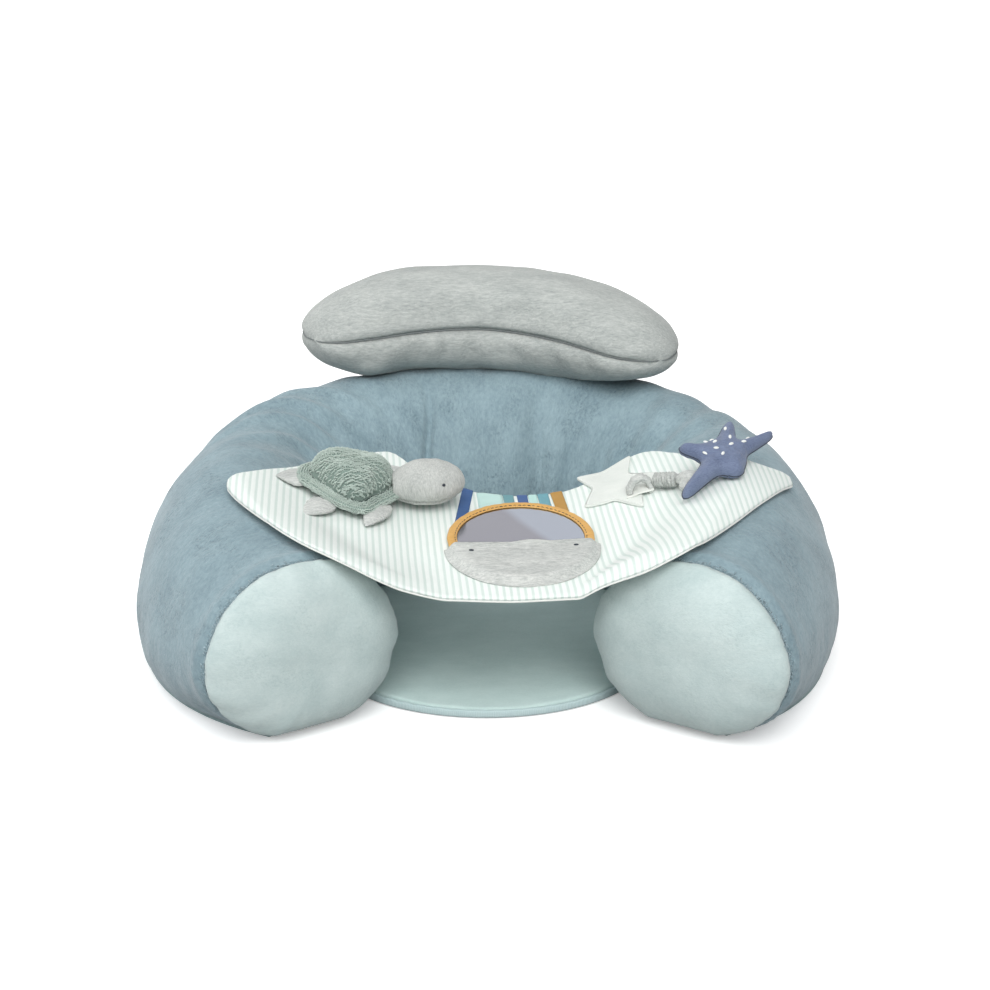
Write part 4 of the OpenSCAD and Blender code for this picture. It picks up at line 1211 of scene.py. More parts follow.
# %% Ribbons
mirror_place, mirror_r, ring_w, edge_r = 69, 61, 8, 3.0
far = -mirror_place + mirror_r * 0.6
q = np.linspace(-0.5, 0.5, 9)
for shade, middle, width, drift_out in (("royal", -36.5, 10, -7), ("aqua", -19, 22, 0), ("teal", -3, 9, 0),
                                        ("navy", 9, 9, 0), ("mint", 18, 7.5, 0), ("sky", 27, 9.5, 1),
                                        ("mustard", 39, 10.5, 2)):
    near_edge = float(back_edge(middle))
    rows = []
    for k, r in enumerate(np.linspace(far, near_edge - 0.3, 34)):
        p = middle + drift_out * (near_edge - r) / 40 + width * q
        edge_fall = np.sqrt(np.maximum(0, 1 - (1 - share((back_edge(p) - r) / edge_r)) ** 2))
        top = tray_top_at(p, np.minimum(r, back_edge(p)))
        top[:, 2] -= tray_t * 0.5 * (1 - edge_fall)
        top[:, 2] += 0.25 + 0.3 * (1 - (2 * q) ** 8) + 0.12 * math.sin(k * 0.8 + middle)
        rows.append(top)
    rows = np.array(rows)
    form = slab(rows + [0, 0, 0.25], rows - [0, 0, 0.15])
    ribbon = piece("ribbon_strip_" + shade, form, ribbon_materials[shade], "tray",
        "ribbon_" + shade)
    along, across = (float(walked(line)[-1]) for line in (rows[:, len(q) // 2], rows[len(rows) // 2]))
    print("ribbon", shade, round(along, 1), "x", round(across, 1), "mm")

# %% The mirror's own frame
mx, my = at(0, -mirror_place)
mirror_from = np.array([mx, my, middle_z(my) + tray_t / math.cos(math.radians(tray_tilt))])
on_mirror = placed(mirror_from, turned("x", tray_tilt) @ turned("z", tray_turn))


# %% Mirror sheet, back and ring
def disc(radius, z0, z1, rings=14, sides=96, edge=0.4):
    marks = [(t * radius, z0) for t in np.linspace(0.03, 1, rings)]
    marks += [(radius + edge * math.cos(a), (z0 + z1) / 2 + (z1 - z0) / 2 * math.sin(a))
              for a in (-0.8, 0, 0.8)]
    marks += [(t * radius, z1) for t in np.linspace(1, 0.03, rings)]
    return skin([[(r * math.cos(a), r * math.sin(a), z) for a in circle_of(sides)] for r, z in marks])


sheet_points, sheet_faces = disc(mirror_r - ring_w + 2.4, 1.9, 3.1)
from_edge = mirror_r - ring_w - np.hypot(sheet_points[:, 0], sheet_points[:, 1])
ripple = drift(sheet_points, 34, 31) * 0.45 * share(from_edge / 14)
sheet_points[:, 2] += ripple * (sheet_points[:, 2] > 2.5)
piece("mirror_film", (on_mirror(sheet_points), sheet_faces), mirror_sheet, "mirror",
    "mirror_face")
piece("mirror_backing", moved(on_mirror, disc(mirror_r - 1.4, 0.95, 1.65)), canvas, "mirror",
    "mirror_back")

ring_profile = ((53.0, 3.3), (52.9, 3.9), (53.2, 4.35), (53.9, 4.55), (54.5, 4.35), (55.2, 4.6), (56.4, 4.85),
                (57.8, 4.9), (59.2, 4.75), (60.3, 4.35), (60.95, 3.6), (61.0, 2.7), (60.6, 2.1), (59.6, 1.8),
                (56.4, 1.85), (56.3, 3.25))
ring_rows = []
for a in circle_of(200):
    out, up = 0.12 * math.sin(23 * a), 0.14 * math.sin(41 * a + 1) + 0.1 * math.sin(17 * a)
    marks = [(r + out * (r > 54), z + up * (z > 4)) for r, z in ring_profile]
    ring_rows.append([(r * math.cos(a), r * math.sin(a), z) for r, z in marks])
piece("mirror_rim", moved(on_mirror, looped(ring_rows)), canvas, "mirror", "mirror_ring")


# %% Stitches as short bent threads
def stitch_line(line, length=2.6, gap=1.4, radius=0.32, lifted=0.25):
    """Stitches along a line of points, each a short arc of thread that rises in z."""
    line = np.asarray(line, float)
    walk = walked(line)
    parts = []
    for k in range(int(walk[-1] // (length + gap))):
        place = read_at(k * (length + gap) + np.linspace(0, length, 5), walk, line)
        place[:, 2] += lifted * np.array([-1.2, 0.7, 1, 0.7, -1.2])
        parts.append(tube(place, radius, 5))
    return joined(parts)


circle = [(54.5 * math.cos(a), 54.5 * math.sin(a), 4.45) for a in np.linspace(0, 2 * math.pi, 300)]
piece("mirror_rim_stitches", moved(on_mirror, stitch_line(circle)), dark_thread, "mirror")

# %% [markdown]
# ### Whale pocket
# A half oval of marl jersey, sewn to the tray round its curve and open at its straight mouth. Over the
# mirror it bulges by the thickness of the ring, and its mouth has a folded hem that waves a little.

# %% Whale pocket
half_l, half_w, mouth = 65, 64.5, -13
rows = []
for v in np.concatenate([[0, 0.012, 0.03], np.linspace(0.06, 1, 46)]):
    row_points = []
    for u in np.linspace(-1, 1, 91):
        x, y = half_w * u * math.sqrt(max(0, 1 - v ** 2)), mouth - half_l * v
        over = float(ease((1 - math.hypot(x / half_w, (y - mouth) / half_l)) * 62 / 9.0))
        ring_mark = 0.5 * hump(math.hypot(x, y), 57, 4.5)
        hem = 0.55 * hump(y, mouth - 4, 3.2)
        mouth_wave = (0.8 * math.sin(u * 7 + 0.6) + 0.5 * math.sin(u * 13)) * math.exp((y - mouth) / 9)
        z = 1.0 + 5.6 * over + (ring_mark + hem * over) * over
        row_points.append((x, y + 0.9 * mouth_wave * (1 - v) * over, z + 0.35 * mouth_wave * over))
    rows.append(row_points)
rows = np.array(rows)
spots = rows.reshape(-1, 3)
creases = (drift(spots, 22, 41) * 0.7 + drift(spots, 9, 42) * 0.25).reshape(rows.shape[:2])
rows[:, :, 2] += creases * share((rows[:, :, 2] - 1.5) / 3)
low = rows.copy()
low[:, :, 2] = np.maximum(rows[:, :, 2] - 1.0, 0.12)
pocket = piece("whale_pocket", moved(on_mirror, slab(rows, low)), fine_jersey, "tray",
    "mirror_pocket")


# %% Small sewn ovals
def oval_pad(length, width, height, rings=6, sides=16):
    """An embroidered oval, a low dome."""
    rows = []
    for a in np.radians(np.linspace(0, 88, rings)):
        half_x, half_y, z = length / 2 * math.cos(a), width / 2 * math.cos(a), height * math.sin(a)
        rows.append([(half_x * math.cos(b), half_y * math.sin(b), z) for b in circle_of(sides)])
    return skin([[(x, y, -0.2) for x, y, z in rows[0]]] + rows)


eyes = [moved(placed([x, y, 6.55], np.eye(3)), oval_pad(4.4, 2.7, 0.9))
        for x, y in ((-43, -25.2), (43, -23.4))]
piece("whale_eyes", moved(on_mirror, joined(eyes)), dark_thread, "tray", "pocket_eyes")

# %% [markdown]
# ## Star, tab and pull cord
# A thick white felt star is sewn to the tray. A short twill tab holds a jersey loop, and from the loop a
# gathered sleeve with elastic in it runs to a stuffed end at the starfish.

# %% Felt star
def smooth_loop(corners, steps, soft):
    """A closed outline through corners, each rounded by a share of its sides."""
    corners = np.asarray(corners, float)
    t = np.linspace(0, 1, 8)[:, None]
    line = []
    for before, corner, after in zip(np.roll(corners, 1, 0), corners, np.roll(corners, -1, 0)):
        a, b = mix(corner, before, soft), mix(corner, after, soft)
        line.append((1 - t) ** 2 * a + 2 * t * (1 - t) * corner + t ** 2 * b)
    return evenly(np.vstack(line), steps)


star_centre = np.array([90.0, 0.0])
star_corners = ((59, 37), (71, 15), (59, -19), (87, -10), (108, -38), (111, -7), (131, 14), (105, 31),
                (113, 67), (83, 46))
star_line = smooth_loop(star_corners, 240, 0.15)
felt_t = 2.2


def flat_on_tray(outline, centre, low, high, edge, rings, soft):
    """A thin closed sheet over an outline, lying on the tray."""
    size = np.linalg.norm(outline - centre, axis=1)[:, None]
    marks = [(part, low) for part in np.linspace(0.04, 1, 6)[:-1]]
    marks += [(1 - edge * (1 - math.cos(a)) / size, (low + high) / 2 + (high - low) / 2 * math.sin(a))
              for a in np.radians(np.linspace(-90, 90, 7))]
    marks += [(part, high + soft * (1 - part)) for part in np.linspace(0.97, 0.03, rings)]
    return skin([tray_top_at(*(centre + (outline - centre) * part).T, up) for part, up in marks])


star_form = flat_on_tray(star_line, star_centre, 0.7, 0.7 + felt_t, 1.1, 22, 0.5)
felt_star = piece("felt_star", star_form, felt, "tray", "star_patch")
inset_line = star_centre + (star_line - star_centre) * 0.9
sewn = tray_top_at(*np.vstack([inset_line, inset_line[:1]]).T, 0.75 + felt_t)
piece("felt_star_stitches", stitch_line(sewn, 2.4, 1.3, 0.22, 0.12), pale_thread, "tray")

# %% Tab and loop
tab_p, tab_r, loop_r = 109, -10, 11
u, v = np.meshgrid(np.linspace(-11.5, 11.5, 18), np.linspace(-7.5, 7.5, 14), indexing="ij")
tab_low = tray_top_at(tab_p + u + 0.12 * v, tab_r + v, 0.8 + felt_t)
tab_low[:, :, 2] += 0.9 * hump(u, 0, 6.0) + 0.1 * np.sin(v * 2.2)
cord_tab = piece("twill_tab", slab(tab_low + [0, 0, 1.0], tab_low), twill, "tray", "cord_tab")


def on_tray(p, r, up):
    """The place of something that stands on the tray."""
    x, y = at(p, r)
    return np.array([x, y, float(under(np.array(x), np.array(y))) + tray_t + up])


rows = []
for a in np.radians(np.linspace(-14, 194, 46)):
    wrinkle = 0.25 * math.sin(a * 9) + 0.18 * math.sin(a * 17 + 1)
    tall = 1.05 * (1.05 + 0.12 * math.sin(a))
    ring = []
    for b in np.radians(np.arange(0, 360, 24)):
        across = (5.6 - 0.8 * max(0, math.sin(a))) * power(math.cos(b), 0.8)
        reach = loop_r - 2.0 + (2.9 + 0.3 * wrinkle) * power(math.sin(b), 0.9) + wrinkle
        ring.append((reach * math.cos(a) * 1.02, across + 0.5 * math.sin(a * 2), reach * math.sin(a) * tall))
    rows.append(ring)
on_tab = placed(on_tray(tab_p, tab_r, 4.0), turned("z", tray_turn))
piece("jersey_loop", moved(on_tab, skin(rows)), fine_jersey, "tray", "cord_loop")

# %% Gathered sleeve
sleeve_l, sleeve_r, cord_turn, cord_rise = 22, 6.3, -46, 14
cord_way = turned("z", tray_turn) @ turned("z", cord_turn) @ turned("y", -cord_rise)
along_cord = placed(on_tray(tab_p + loop_r + 1.8, tab_r, sleeve_r + 2.4), cord_way)
rows = []
for x in np.linspace(0, sleeve_l, 100):
    phase = 2 * math.pi * x / sleeve_l * 7.5
    closing = min(1, min(x + 0.6, sleeve_l - x + 0.6) / 1.8)
    ring = []
    for a in circle_of(40):
        bent = phase + 0.7 * math.sin(a * 2 + 0.4 * phase) + 0.4 * math.sin(3 * a + x)
        ruffle = 3.7 * (0.5 + 0.5 * math.sin(bent)) ** 0.7
        r = (2.9 + ruffle + 0.3 * math.sin(7 * a + 2.3 * x)) * math.sqrt(closing)
        ring.append((x, r * math.cos(a), r * math.sin(a)))
    rows.append(ring)
sleeve = piece("gathered_sleeve", moved(along_cord, skin(rows)), fine_jersey, None,
    "pull_sleeve pull_elastic")
sleeve_start, sleeve_end = along_cord([[1.0, 0, 0], [sleeve_l - 1.0, 0, 0]]) * MM
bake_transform(sleeve)

# %% [markdown]
# ### Stuffed forms
# The cord's end, the turtle's head and its flippers are each two cloth panels sewn round the edge and
# stuffed. One function gives such a form: a skin of rings along its length, fat in the middle, with a seam
# that pulls in all round and puckers beside it.

# %% A stuffed form along its length
def plump(length, width, up, down, bias=1.0, blunt=0.75, rings=60, sides=48, seam=0.0, pucker=0.0, droop=0.0,
          curl=0.0, cut=0.0):
    """cut is the share of the form that is missing at its root, where it is sewn on."""
    rows = []
    for t in np.concatenate([[0.004, 0.012, 0.025], np.linspace(0.045, 0.955, rings), [0.975, 0.988, 0.996]]):
        part = max(0.02, math.sin(math.pi * (cut + (1 - cut) * t) ** bias) ** blunt)
        half = width / 2 * part
        wave = 0.8 + 0.2 * math.sin(t * length * 1.6)
        ring = []
        for a in circle_of(sides):
            c, s = math.cos(a), math.sin(a)
            near = hump(s, 0, 0.16)
            puckers = math.sin(t * length * 1.25 + (0 if c > 0 else 2))
            fold = pucker * hump(s, 0, 0.5) * (1 - near) * puckers / max(half, 3)
            y = half * c * (1 - seam / max(half, 3) * near * wave + fold)
            z = (up if s > 0 else down) * part * s * (1 + fold)
            ring.append((length * t, y + curl * (t - 0.3) ** 2, z - droop * t * t))
        rows.append(ring)
    return skin(rows)


# %% The cord's stuffed end
bulb_l, bulb_w = 30, 15
end_points, end_faces = plump(bulb_l - 2, bulb_w * 1.06, 7.6, 7.4, 1.0, 0.55, 44, 36, 0.5, 0.25)
end_points[:, 0] += sleeve_l + 0.4
end_points += (drift(end_points, 6, 51) * 0.7)[:, None] * [0, 1, 1]
knot = plump(19, 11.5, 4.6, 4.6, 0.8, 0.6, 30, 30, 0.4, 0.2, 2.0)
knot = moved(placed([sleeve_l + 12, -3.5, -2.4], turned("y", 8) @ turned("z", -52)), knot)
piece("cord_end", moved(along_cord, joined([(end_points, end_faces), knot])), fine_jersey, "starfish",
    "cord_bulb")

# %% [markdown]
# ## Starfish
# Two panels of navy marl, sewn and stuffed, with five unequal legs that bend as they lie. White seeds are
# embroidered on its middle. Each leg is a rounded bar, and the legs melt into one outline.

# %% Starfish outline
star_legs = ((47, 32.5, 7.2), (11.5, 43.5, 8.4), (-37, 7.5, 8.2), (-38, -44.5, 7.6), (10.5, -19.5, 9.6))
star_steps, star_core = 300, 19.5


def leg_reach(angle):
    """How far the outline is from the middle at an angle: rounded bars, joined softly."""
    way = np.array([math.cos(angle), math.sin(angle)])
    reaches = [star_core]
    for x, y, wide in star_legs:
        length = math.hypot(x, y)
        dot, cross = (way[0] * x + way[1] * y) / length, abs(way[0] * y - way[1] * x) / length
        if dot <= 0:
            continue
        low, high = 0.0, length
        for _ in range(26):
            q = (low + high) / 2
            t = min(1, max(0, q * dot / length))
            half = wide * (1.36 - 0.84 * t) * math.sqrt(max(0, 1 - max(0, (t - 0.84) / 0.16) ** 2.2))
            if q * dot < length and q * cross < half:
                low = q
            else:
                high = q
        reaches.append(low)
    return float((np.array(reaches) ** 6).sum() ** (1 / 6))


angles = circle_of(star_steps)
reach = np.tile([leg_reach(a) for a in angles], 3)
reach = np.convolve(reach, np.ones(3) / 3, mode="same")[star_steps:2 * star_steps]
star_outline = np.stack([reach * np.cos(angles), reach * np.sin(angles)], axis=1)
print("starfish reach", round(reach.min(), 1), "to", round(reach.max(), 1), "mm")


# %% Stuffed panels inside an outline
def edge_distance(spots, outline):
    way = np.roll(outline, -1, 0) - outline
    t = share(((spots[:, None] - outline) * way).sum(-1) / np.maximum((way ** 2).sum(-1), 1e-9))
    return np.linalg.norm(spots[:, None] - (outline + t[..., None] * way), axis=-1).min(axis=1)


star_rows = []
star_parts = np.concatenate([[0.03], np.linspace(0.1, 0.9, 24), [0.93, 0.955, 0.975, 0.99, 1.0]])
for side, height, parts in ((-1, 7.4, star_parts), (1, 9.6, star_parts[::-1])):
    for part in parts:
        spots = star_outline * part
        curve = np.sqrt(np.maximum(0, 1 - (1 - share(edge_distance(spots, star_outline) / 12.0)) ** 2))
        star_rows.append(np.column_stack([spots, side * (height * curve + 0.25)]))
starfish_points, starfish_faces = skin(star_rows)
ripples = drift(starfish_points, 7, 61) * 0.9 + drift(starfish_points, 3.2, 62) * 0.35
starfish_points[:, 2] += ripples * np.sign(starfish_points[:, 2]) * share(abs(starfish_points[:, 2]) / 3)
starfish_place = placed(on_tray(175, -33, 13.6), turned("z", tray_turn) @ turned("y", 6) @ turned("x", 25))


def on_starfish(points):
    """In place, with legs that give way: the long near leg hangs down and the far tips curl."""
    points = np.array(points, float)
    near_leg = share((-points[:, 1] - 14) / 34) * (points[:, 0] < 2)
    far_tips = share((points[:, 0] - 22) / 30) * (points[:, 1] > 5)
    points[:, 2] += 2.5 * far_tips ** 2 - 9.0 * near_leg ** 1.5
    return starfish_place(points)


starfish_points = stuffed("starfish", starfish_points, starfish_faces, 2.6, 3, 1.6, frames=10)
piece("starfish_toy", (on_starfish(starfish_points), starfish_faces), navy_jersey, "starfish",
    "starfish_body")
rim = np.column_stack([star_outline * 1.004, np.zeros(star_steps)])
piece("starfish_rim", moved(on_starfish, tube(np.vstack([rim, rim[:2]]), 0.35, 5)), dark_thread, "starfish")

# %% Embroidered seeds
seeds = ((4.2, 29.7, 70), (-7.6, 19.4, 20), (-14.5, 12.3, -20), (-8.0, 9.3, 40), (6.1, 17.1, 80),
         (5.6, 7.0, 30), (-8.2, 0.5, 10), (-17.6, -3.5, -35), (-3.3, -6.0, 60), (23.8, 23.4, 45),
         (17.5, 12.5, 15))
top_tree = kdtree.KDTree(len(starfish_points))
for index, spot in enumerate(starfish_points):
    top_tree.insert((spot[0], spot[1], 0), index)
top_tree.balance()
seed_parts = []
for x, y, turn_by in seeds:
    height = max(starfish_points[hit[1]][2] for hit in top_tree.find_n((x, y, 0), 8))
    seed_parts.append(moved(placed([x, y, height + 0.1], turned("z", turn_by)), oval_pad(4.8, 2.6, 1.0)))
piece("starfish_seeds", moved(on_starfish, joined(seed_parts)), pale_thread, "starfish",
    "starfish_stitches")

# %% [markdown]
# ## Turtle
# A domed shell of green terry with a flat rim, a marl head and four flat flippers. Terry is a cloth of
# standing loops in rows, so the loops are real ones here, a small bent thread each. The cloth under the
# loops is darker than they are, as painted shade between them.

# %% Turtle frame and shell outline
on_turtle = placed(on_tray(-141, -2, 1.2), turned("z", tray_turn) @ turned("y", 9) @ turned("x", 10))
shell_marks = ((-72, 43.5), (-45, 36.5), (-14, 42), (14, 47.5), (42, 47), (66, 40.5), (90, 38), (118, 42),
               (146, 48.5), (168, 47), (196, 36.5), (222, 34), (252, 37.5))
mark_angles, mark_reaches = np.array(shell_marks, float).T
mark_angles = np.concatenate([mark_angles - 360, mark_angles, mark_angles + 360])
shell_angles = np.arange(-100, 400, 2.0)
bell = hump(np.arange(-8, 9), 0, 4.5)
shell_reaches = np.convolve(np.interp(shell_angles, mark_angles, np.tile(mark_reaches, 3)), bell / bell.sum(),
    mode="same")
shell_steps = 160
turn = circle_of(shell_steps)
dome_in, belly_h, rim_t, turtle_h = 11.0, 8, 4.6, 36.5
band = dome_in + 3.0


def shell_reach(angle):
    """Distance from the middle to the rim, smooth all the way round."""
    return np.interp((np.degrees(angle) + 72) % 360 - 72, shell_angles, shell_reaches)


def rim_droop(angle, out):
    """The rim sags between what carries it, and its corners curl."""
    return (1.0 * np.sin(2 * angle + 0.6) + 0.8 * np.sin(3 * angle + 2.0)) * out


def shell_surface(angle, part):
    """Points on the dome's cloth in the turtle's frame. part goes from 0 at the top to 1 at the seam."""
    reach = (shell_reach(angle) - dome_in) * part
    z = belly_h + rim_t - 0.6 + (turtle_h - belly_h - rim_t) * (1 - share(part) ** 4.6) ** 0.52
    bumpy = (2.4 * np.sin(3 * angle + 1.0) + 0.7 * np.sin(5 * angle)) * part * (1 - part)
    return np.stack([reach * np.cos(angle) + 2.5 * (1 - part), reach * np.sin(angle), z + bumpy], axis=-1)


def rim_surface(angle, out, height):
    """Points on the rim. out goes from 0 under the dome to about 1 at the outer edge."""
    reach = shell_reach(angle) - band + band * out * 0.97
    z = belly_h + height + rim_droop(angle, out)
    return np.stack([reach * np.cos(angle), reach * np.sin(angle), z], axis=-1)


# %% Shell ground and rim
dome_parts = np.concatenate([[0.03], np.linspace(0.1, 0.9, 22), [0.94, 0.97, 0.99, 1.0, 1.0]])
rows = [shell_surface(turn, np.full(shell_steps, t)) for t in dome_parts]
rows[-1] = rows[-1] - [0, 0, 2.0]
# dome and rim under the loops are in the darker ground cloth, painted shade between the loops
piece("turtle_dome", moved(on_turtle, skin(rows)), terry_ground_painted_shade, "turtle", "turtle_shell")
rim_marks = ((0.0, 0.2), (0.35, 0.0), (0.75, 0.0), (0.93, 0.35), (1.0, 1.3), (1.03, 2.4), (1.0, 3.6),
             (0.93, 4.4), (0.75, 4.9), (0.45, 4.8), (0.2, 4.0), (0.05, 3.2))
rows = [rim_surface(turn, out, height) for out, height in rim_marks]
piece("turtle_shell_rim", moved(on_turtle, looped(rows)), terry_ground_painted_shade, "turtle", "turtle_rim")

# %% Terry loops
dice = np.random.default_rng(7)
loop_angles = np.radians((-20, 35, 90, 145, 200))
loop_parts = []


def terry_loop(place, along, up, size):
    """A small standing loop of thread: rings of a bent tube with four sides."""
    thick = size * 0.34
    side_way = np.cross(up, along) * thick
    rings = []
    for a in loop_angles:
        spot = place + along * math.cos(a) * size * 0.72 + up * (math.sin(a) * size * 0.95 + 0.15 * size)
        radial = (along * math.cos(a) + up * math.sin(a)) * thick
        rings.append([spot + side_way, spot + radial, spot - side_way, spot - radial])
    return rings


def add_loops(spots, size):
    """A loop at each spot, which is a place, a place ahead of it and one beside it."""
    for spot, ahead, beside in spots:
        along = unit(ahead - spot)
        up = unit(np.cross(along, beside - spot))
        if up[2] < 0:
            up = -up
        lean = dice.normal(0, 0.22, 3)
        up = unit(up + lean - up * (lean @ up))
        turn_by = dice.normal(0, 0.35)
        way = along * math.cos(turn_by) + unit(np.cross(up, along)) * math.sin(turn_by)
        loop_parts.append(terry_loop(spot, way, up, size * dice.uniform(0.85, 1.2)))


def dome_at(x, y):
    """A place on the dome over x and y, or nothing outside it."""
    part = 0.5
    for _ in range(6):
        lean_x = 2.5 * (1 - part)
        angle = math.atan2(y, x - lean_x)
        part = math.hypot(x - lean_x, y) / (float(shell_reach(angle)) - dome_in)
    return None if part > 0.995 else shell_surface(np.array(angle), np.array(part))


spots = []
y, row_number, nudge = -40.0, 0, 0.3
while y < 40:
    x = -50.0 + dice.uniform(0, 1.5)
    wander = dice.uniform(0, 6.28)
    while x < 52:
        wave = 0.8 * math.sin(x / 3.6 + wander) + 1.1 * math.sin(x / 11 + row_number * 0.5)
        y_here = y + wave + dice.uniform(-0.45, 0.45)
        here = dome_at(x, y_here)
        if here is None:
            x += 0.6
            continue
        ahead, beside = dome_at(x + nudge, y_here), dome_at(x, y_here + nudge)
        ahead = here + [nudge, 0, -0.6] if ahead is None else ahead
        beside = here + [0, nudge, -0.6] if beside is None else beside
        spots.append((here, ahead, beside))
        slope_x = math.hypot(nudge, ahead[2] - here[2]) / nudge
        x += 1.85 * dice.uniform(0.8, 1.25) / min(slope_x, 4)
    y += 1.95 / float(1 + 2.0 * share((abs(y) - 18) / 12))
    row_number += 1
add_loops(spots, 1.42)
dome_loops = len(loop_parts)
spots = []
loops_round = int(2 * math.pi * 41 / 2.0)
for out, height in ((0.2, 4.2), (0.36, 4.7), (0.52, 4.9), (0.68, 4.9), (0.84, 4.7), (0.96, 4.1), (1.04, 3.0),
                    (1.05, 1.8), (0.98, 0.8)):
    sideways, down = (0.3, 0) if out < 0.9 else (0.015, 0.3)
    for k in range(loops_round):
        a = 2 * math.pi * (k + dice.uniform(-0.2, 0.2)) / loops_round
        here = rim_surface(a, out, height)
        beside = here + [math.cos(a) * sideways, math.sin(a) * sideways, -down]
        spots.append((here, rim_surface(a + 0.01, out, height), beside))
add_loops(spots, 1.25)
faces_one = skin(np.zeros((5, 4, 3)), ends=False)[1]
faces = [[v + 20 * k for v in face] for k in range(len(loop_parts)) for face in faces_one]
points = on_turtle(np.reshape(loop_parts, (-1, 3)))
piece("turtle_terry_loops", (points, faces), terry, "turtle", closed=False)
print("terry loops:", dome_loops, "on the dome,", len(loop_parts) - dome_loops, "on the rim")

# %% Stitched line between dome and rim
fine_turn = np.linspace(0, 2 * math.pi, 400)
dome_foot = shell_surface(fine_turn, np.ones(400))
dome_foot += np.column_stack([0.6 * np.cos(fine_turn), 0.6 * np.sin(fine_turn), np.full(400, 0.9)])
piece("turtle_dome_line", moved(on_turtle, tube(dome_foot, 0.75)), dark_green_thread, "turtle")

# %% Belly
rows = []
for a in np.radians(np.linspace(-86, 10, 12)):
    reach = (shell_reach(turn) - 9.5) * math.cos(a) ** 0.8
    height = np.full(shell_steps, belly_h - 0.4 + 7.4 * math.sin(a))
    rows.append(np.stack([reach * np.cos(turn), reach * np.sin(turn), height], axis=1))
piece("turtle_underside", moved(on_turtle, skin(rows)), fine_jersey, "turtle",
    "turtle_belly")

# %% Head
head_l, head_w, head_up, head_down, head_bias, head_blunt, head_cut = 62, 44, 21.5, 17.5, 1.2, 0.5, 0.14
points, faces = plump(head_l, head_w, head_up, head_down, head_bias, head_blunt, 80, 132, cut=head_cut)
out_way = unit(points * [0, 1, 1])
t = points[:, 0] / head_l
angle = np.degrees(np.arctan2(points[:, 2], -points[:, 1]))
jaw = -25 - 8 * share((t - 0.45) / 0.4)
mouth_fade = share((0.9 - t) / 0.2)
shut = 1.8 * hump(angle, jaw, 4.2) * mouth_fade * share((t - 0.03) / 0.05)
shut += 0.6 * hump(180 - abs(angle), 24, 5.0) * mouth_fade * (points[:, 1] > 0)
beside = hump(angle, jaw, 15.0) * np.sin(points[:, 0] * 1.15) * share((0.85 - t) / 0.2)
points = points + out_way * (-1.35 * shut + 0.3 * beside)[:, None]
points += out_way * (drift(points, 15, 71) * 1.1 + drift(points, 6, 72) * 0.45)[:, None]
points[:, 2] -= 1.5 * share((0.3 - t) / 0.3)
points = stuffed("head", points, faces, 2.8, 2.5, 0.8, frames=8)
head_place = placed([36.0, 2.0, 14.0], turned("y", -12))


def on_head(points):
    return on_turtle(head_place(points))


piece("turtle_head_toy", (on_head(points), faces), head_jersey, "turtle", "turtle_head")
eye_at, eye_turn, eyes = 0.70, math.radians(22), []
part = math.sin(math.pi * (head_cut + (1 - head_cut) * eye_at) ** head_bias) ** head_blunt
for side in (-1, 1):
    y, z = side * math.cos(eye_turn), math.sin(eye_turn)
    away = unit(np.array([0.1, y, z]))
    flat_way = np.array([1.0, 0, -0.1])
    flat_way = unit(flat_way - away * (flat_way @ away))
    place = np.array([head_l * eye_at, head_w / 2 * part * y, head_up * part * z]) + away * 0.15
    eye_way = np.stack([flat_way, np.cross(away, flat_way), away], axis=1)
    eyes.append(moved(placed(place, eye_way), oval_pad(3.1, 2.6, 1.1)))
piece("turtle_eye_beads", moved(on_head, joined(eyes)), dark_thread, "turtle", "turtle_eyes")

# %% Flippers
flippers = (("front_right_flipper", 33, -16, 5.4, -119, 2, 43, 21, 3.0, 5),
            ("front_left_flipper", 23.4, 23, 4.4, 60, 0, 44, 26, 2, -4),
            ("rear_right_flipper", -15, -23, 6.4, -123, 7, 37, 25, 4.5, -4),
            ("rear_left_flipper", -29, 8, 6, 172, 5, 34, 28, 3, 4))
for node, x, y, z, turn_by, raise_by, length, width, droop, curl in flippers:
    points, faces = plump(length, width, 4.1, 3.6, 0.78, 0.72, 40, 40, 0.9, 0.35, droop, curl)
    points[:, 2] += drift(points, 8, 81 + x) * 0.9
    root_place = placed([x, y, z], turned("z", turn_by) @ turned("y", -raise_by))
    points = on_turtle(root_place(points))
    piece(node + "_toy", (points, faces), fine_jersey, "turtle", node)

# %% [markdown]
# ## Pillow
# A crescent cushion of marl jersey, two panels sewn together. Its upper panel is the fuller one, and its
# seam waves along the inner curve, where there is most cloth to hold in.

# %% Pillow form
pillow_l, pillow_w, pillow_up, pillow_down, pillow_r, pillow_drop = 384, 150, 46.5, 40, 215, 14
pillow_tip = np.array([0.991, 0.9955, 0.998, 0.9992, 0.9997, 0.9999, 0.99999])
pillow_qs = np.concatenate([-pillow_tip[::-1], np.linspace(-0.984, 0.984, 130), pillow_tip])
pillow_sides = 96
on_pillow = placed(np.array([8, back_l + 43, back_h + 40.3]), turned("z", -6) @ turned("y", 2))


def pillow_part(q):
    """The pillow's share of its full width, at a share of its half length."""
    return (1 - abs(q) ** 2.7) ** 0.45


rows = []
for q in pillow_qs:
    a, part = q * pillow_l / 2 / pillow_r, pillow_part(q)
    half = max(0.5, pillow_w / 2 * part)
    low_depth = pillow_down + mix(12, 0, (q + 1) / 2) * hump(abs(q), 0.82, 0.2)
    ring = []
    for f in circle_of(pillow_sides):
        c, s = math.cos(f), math.sin(f)
        side, depth = (1, pillow_up) if s >= 0 else (-1, low_depth)
        high = max(0.4, depth * part ** 0.9)
        belly = s < 0 and c < 0
        high += 12 * -c * hump(q, -0.25, 0.75) * part if belly else 0
        out = pillow_r + half * power(c, 0.72 if belly else 1)
        z = side * high * abs(s) ** (0.56 if belly else 0.86) - pillow_drop * q * q
        ring.append((out * math.sin(a), out * math.cos(a) - pillow_r, z))
    rows.append(ring)
points, faces = skin(rows)
points = stuffed("pillow", points, faces, 6, 4, 5, frames=16)
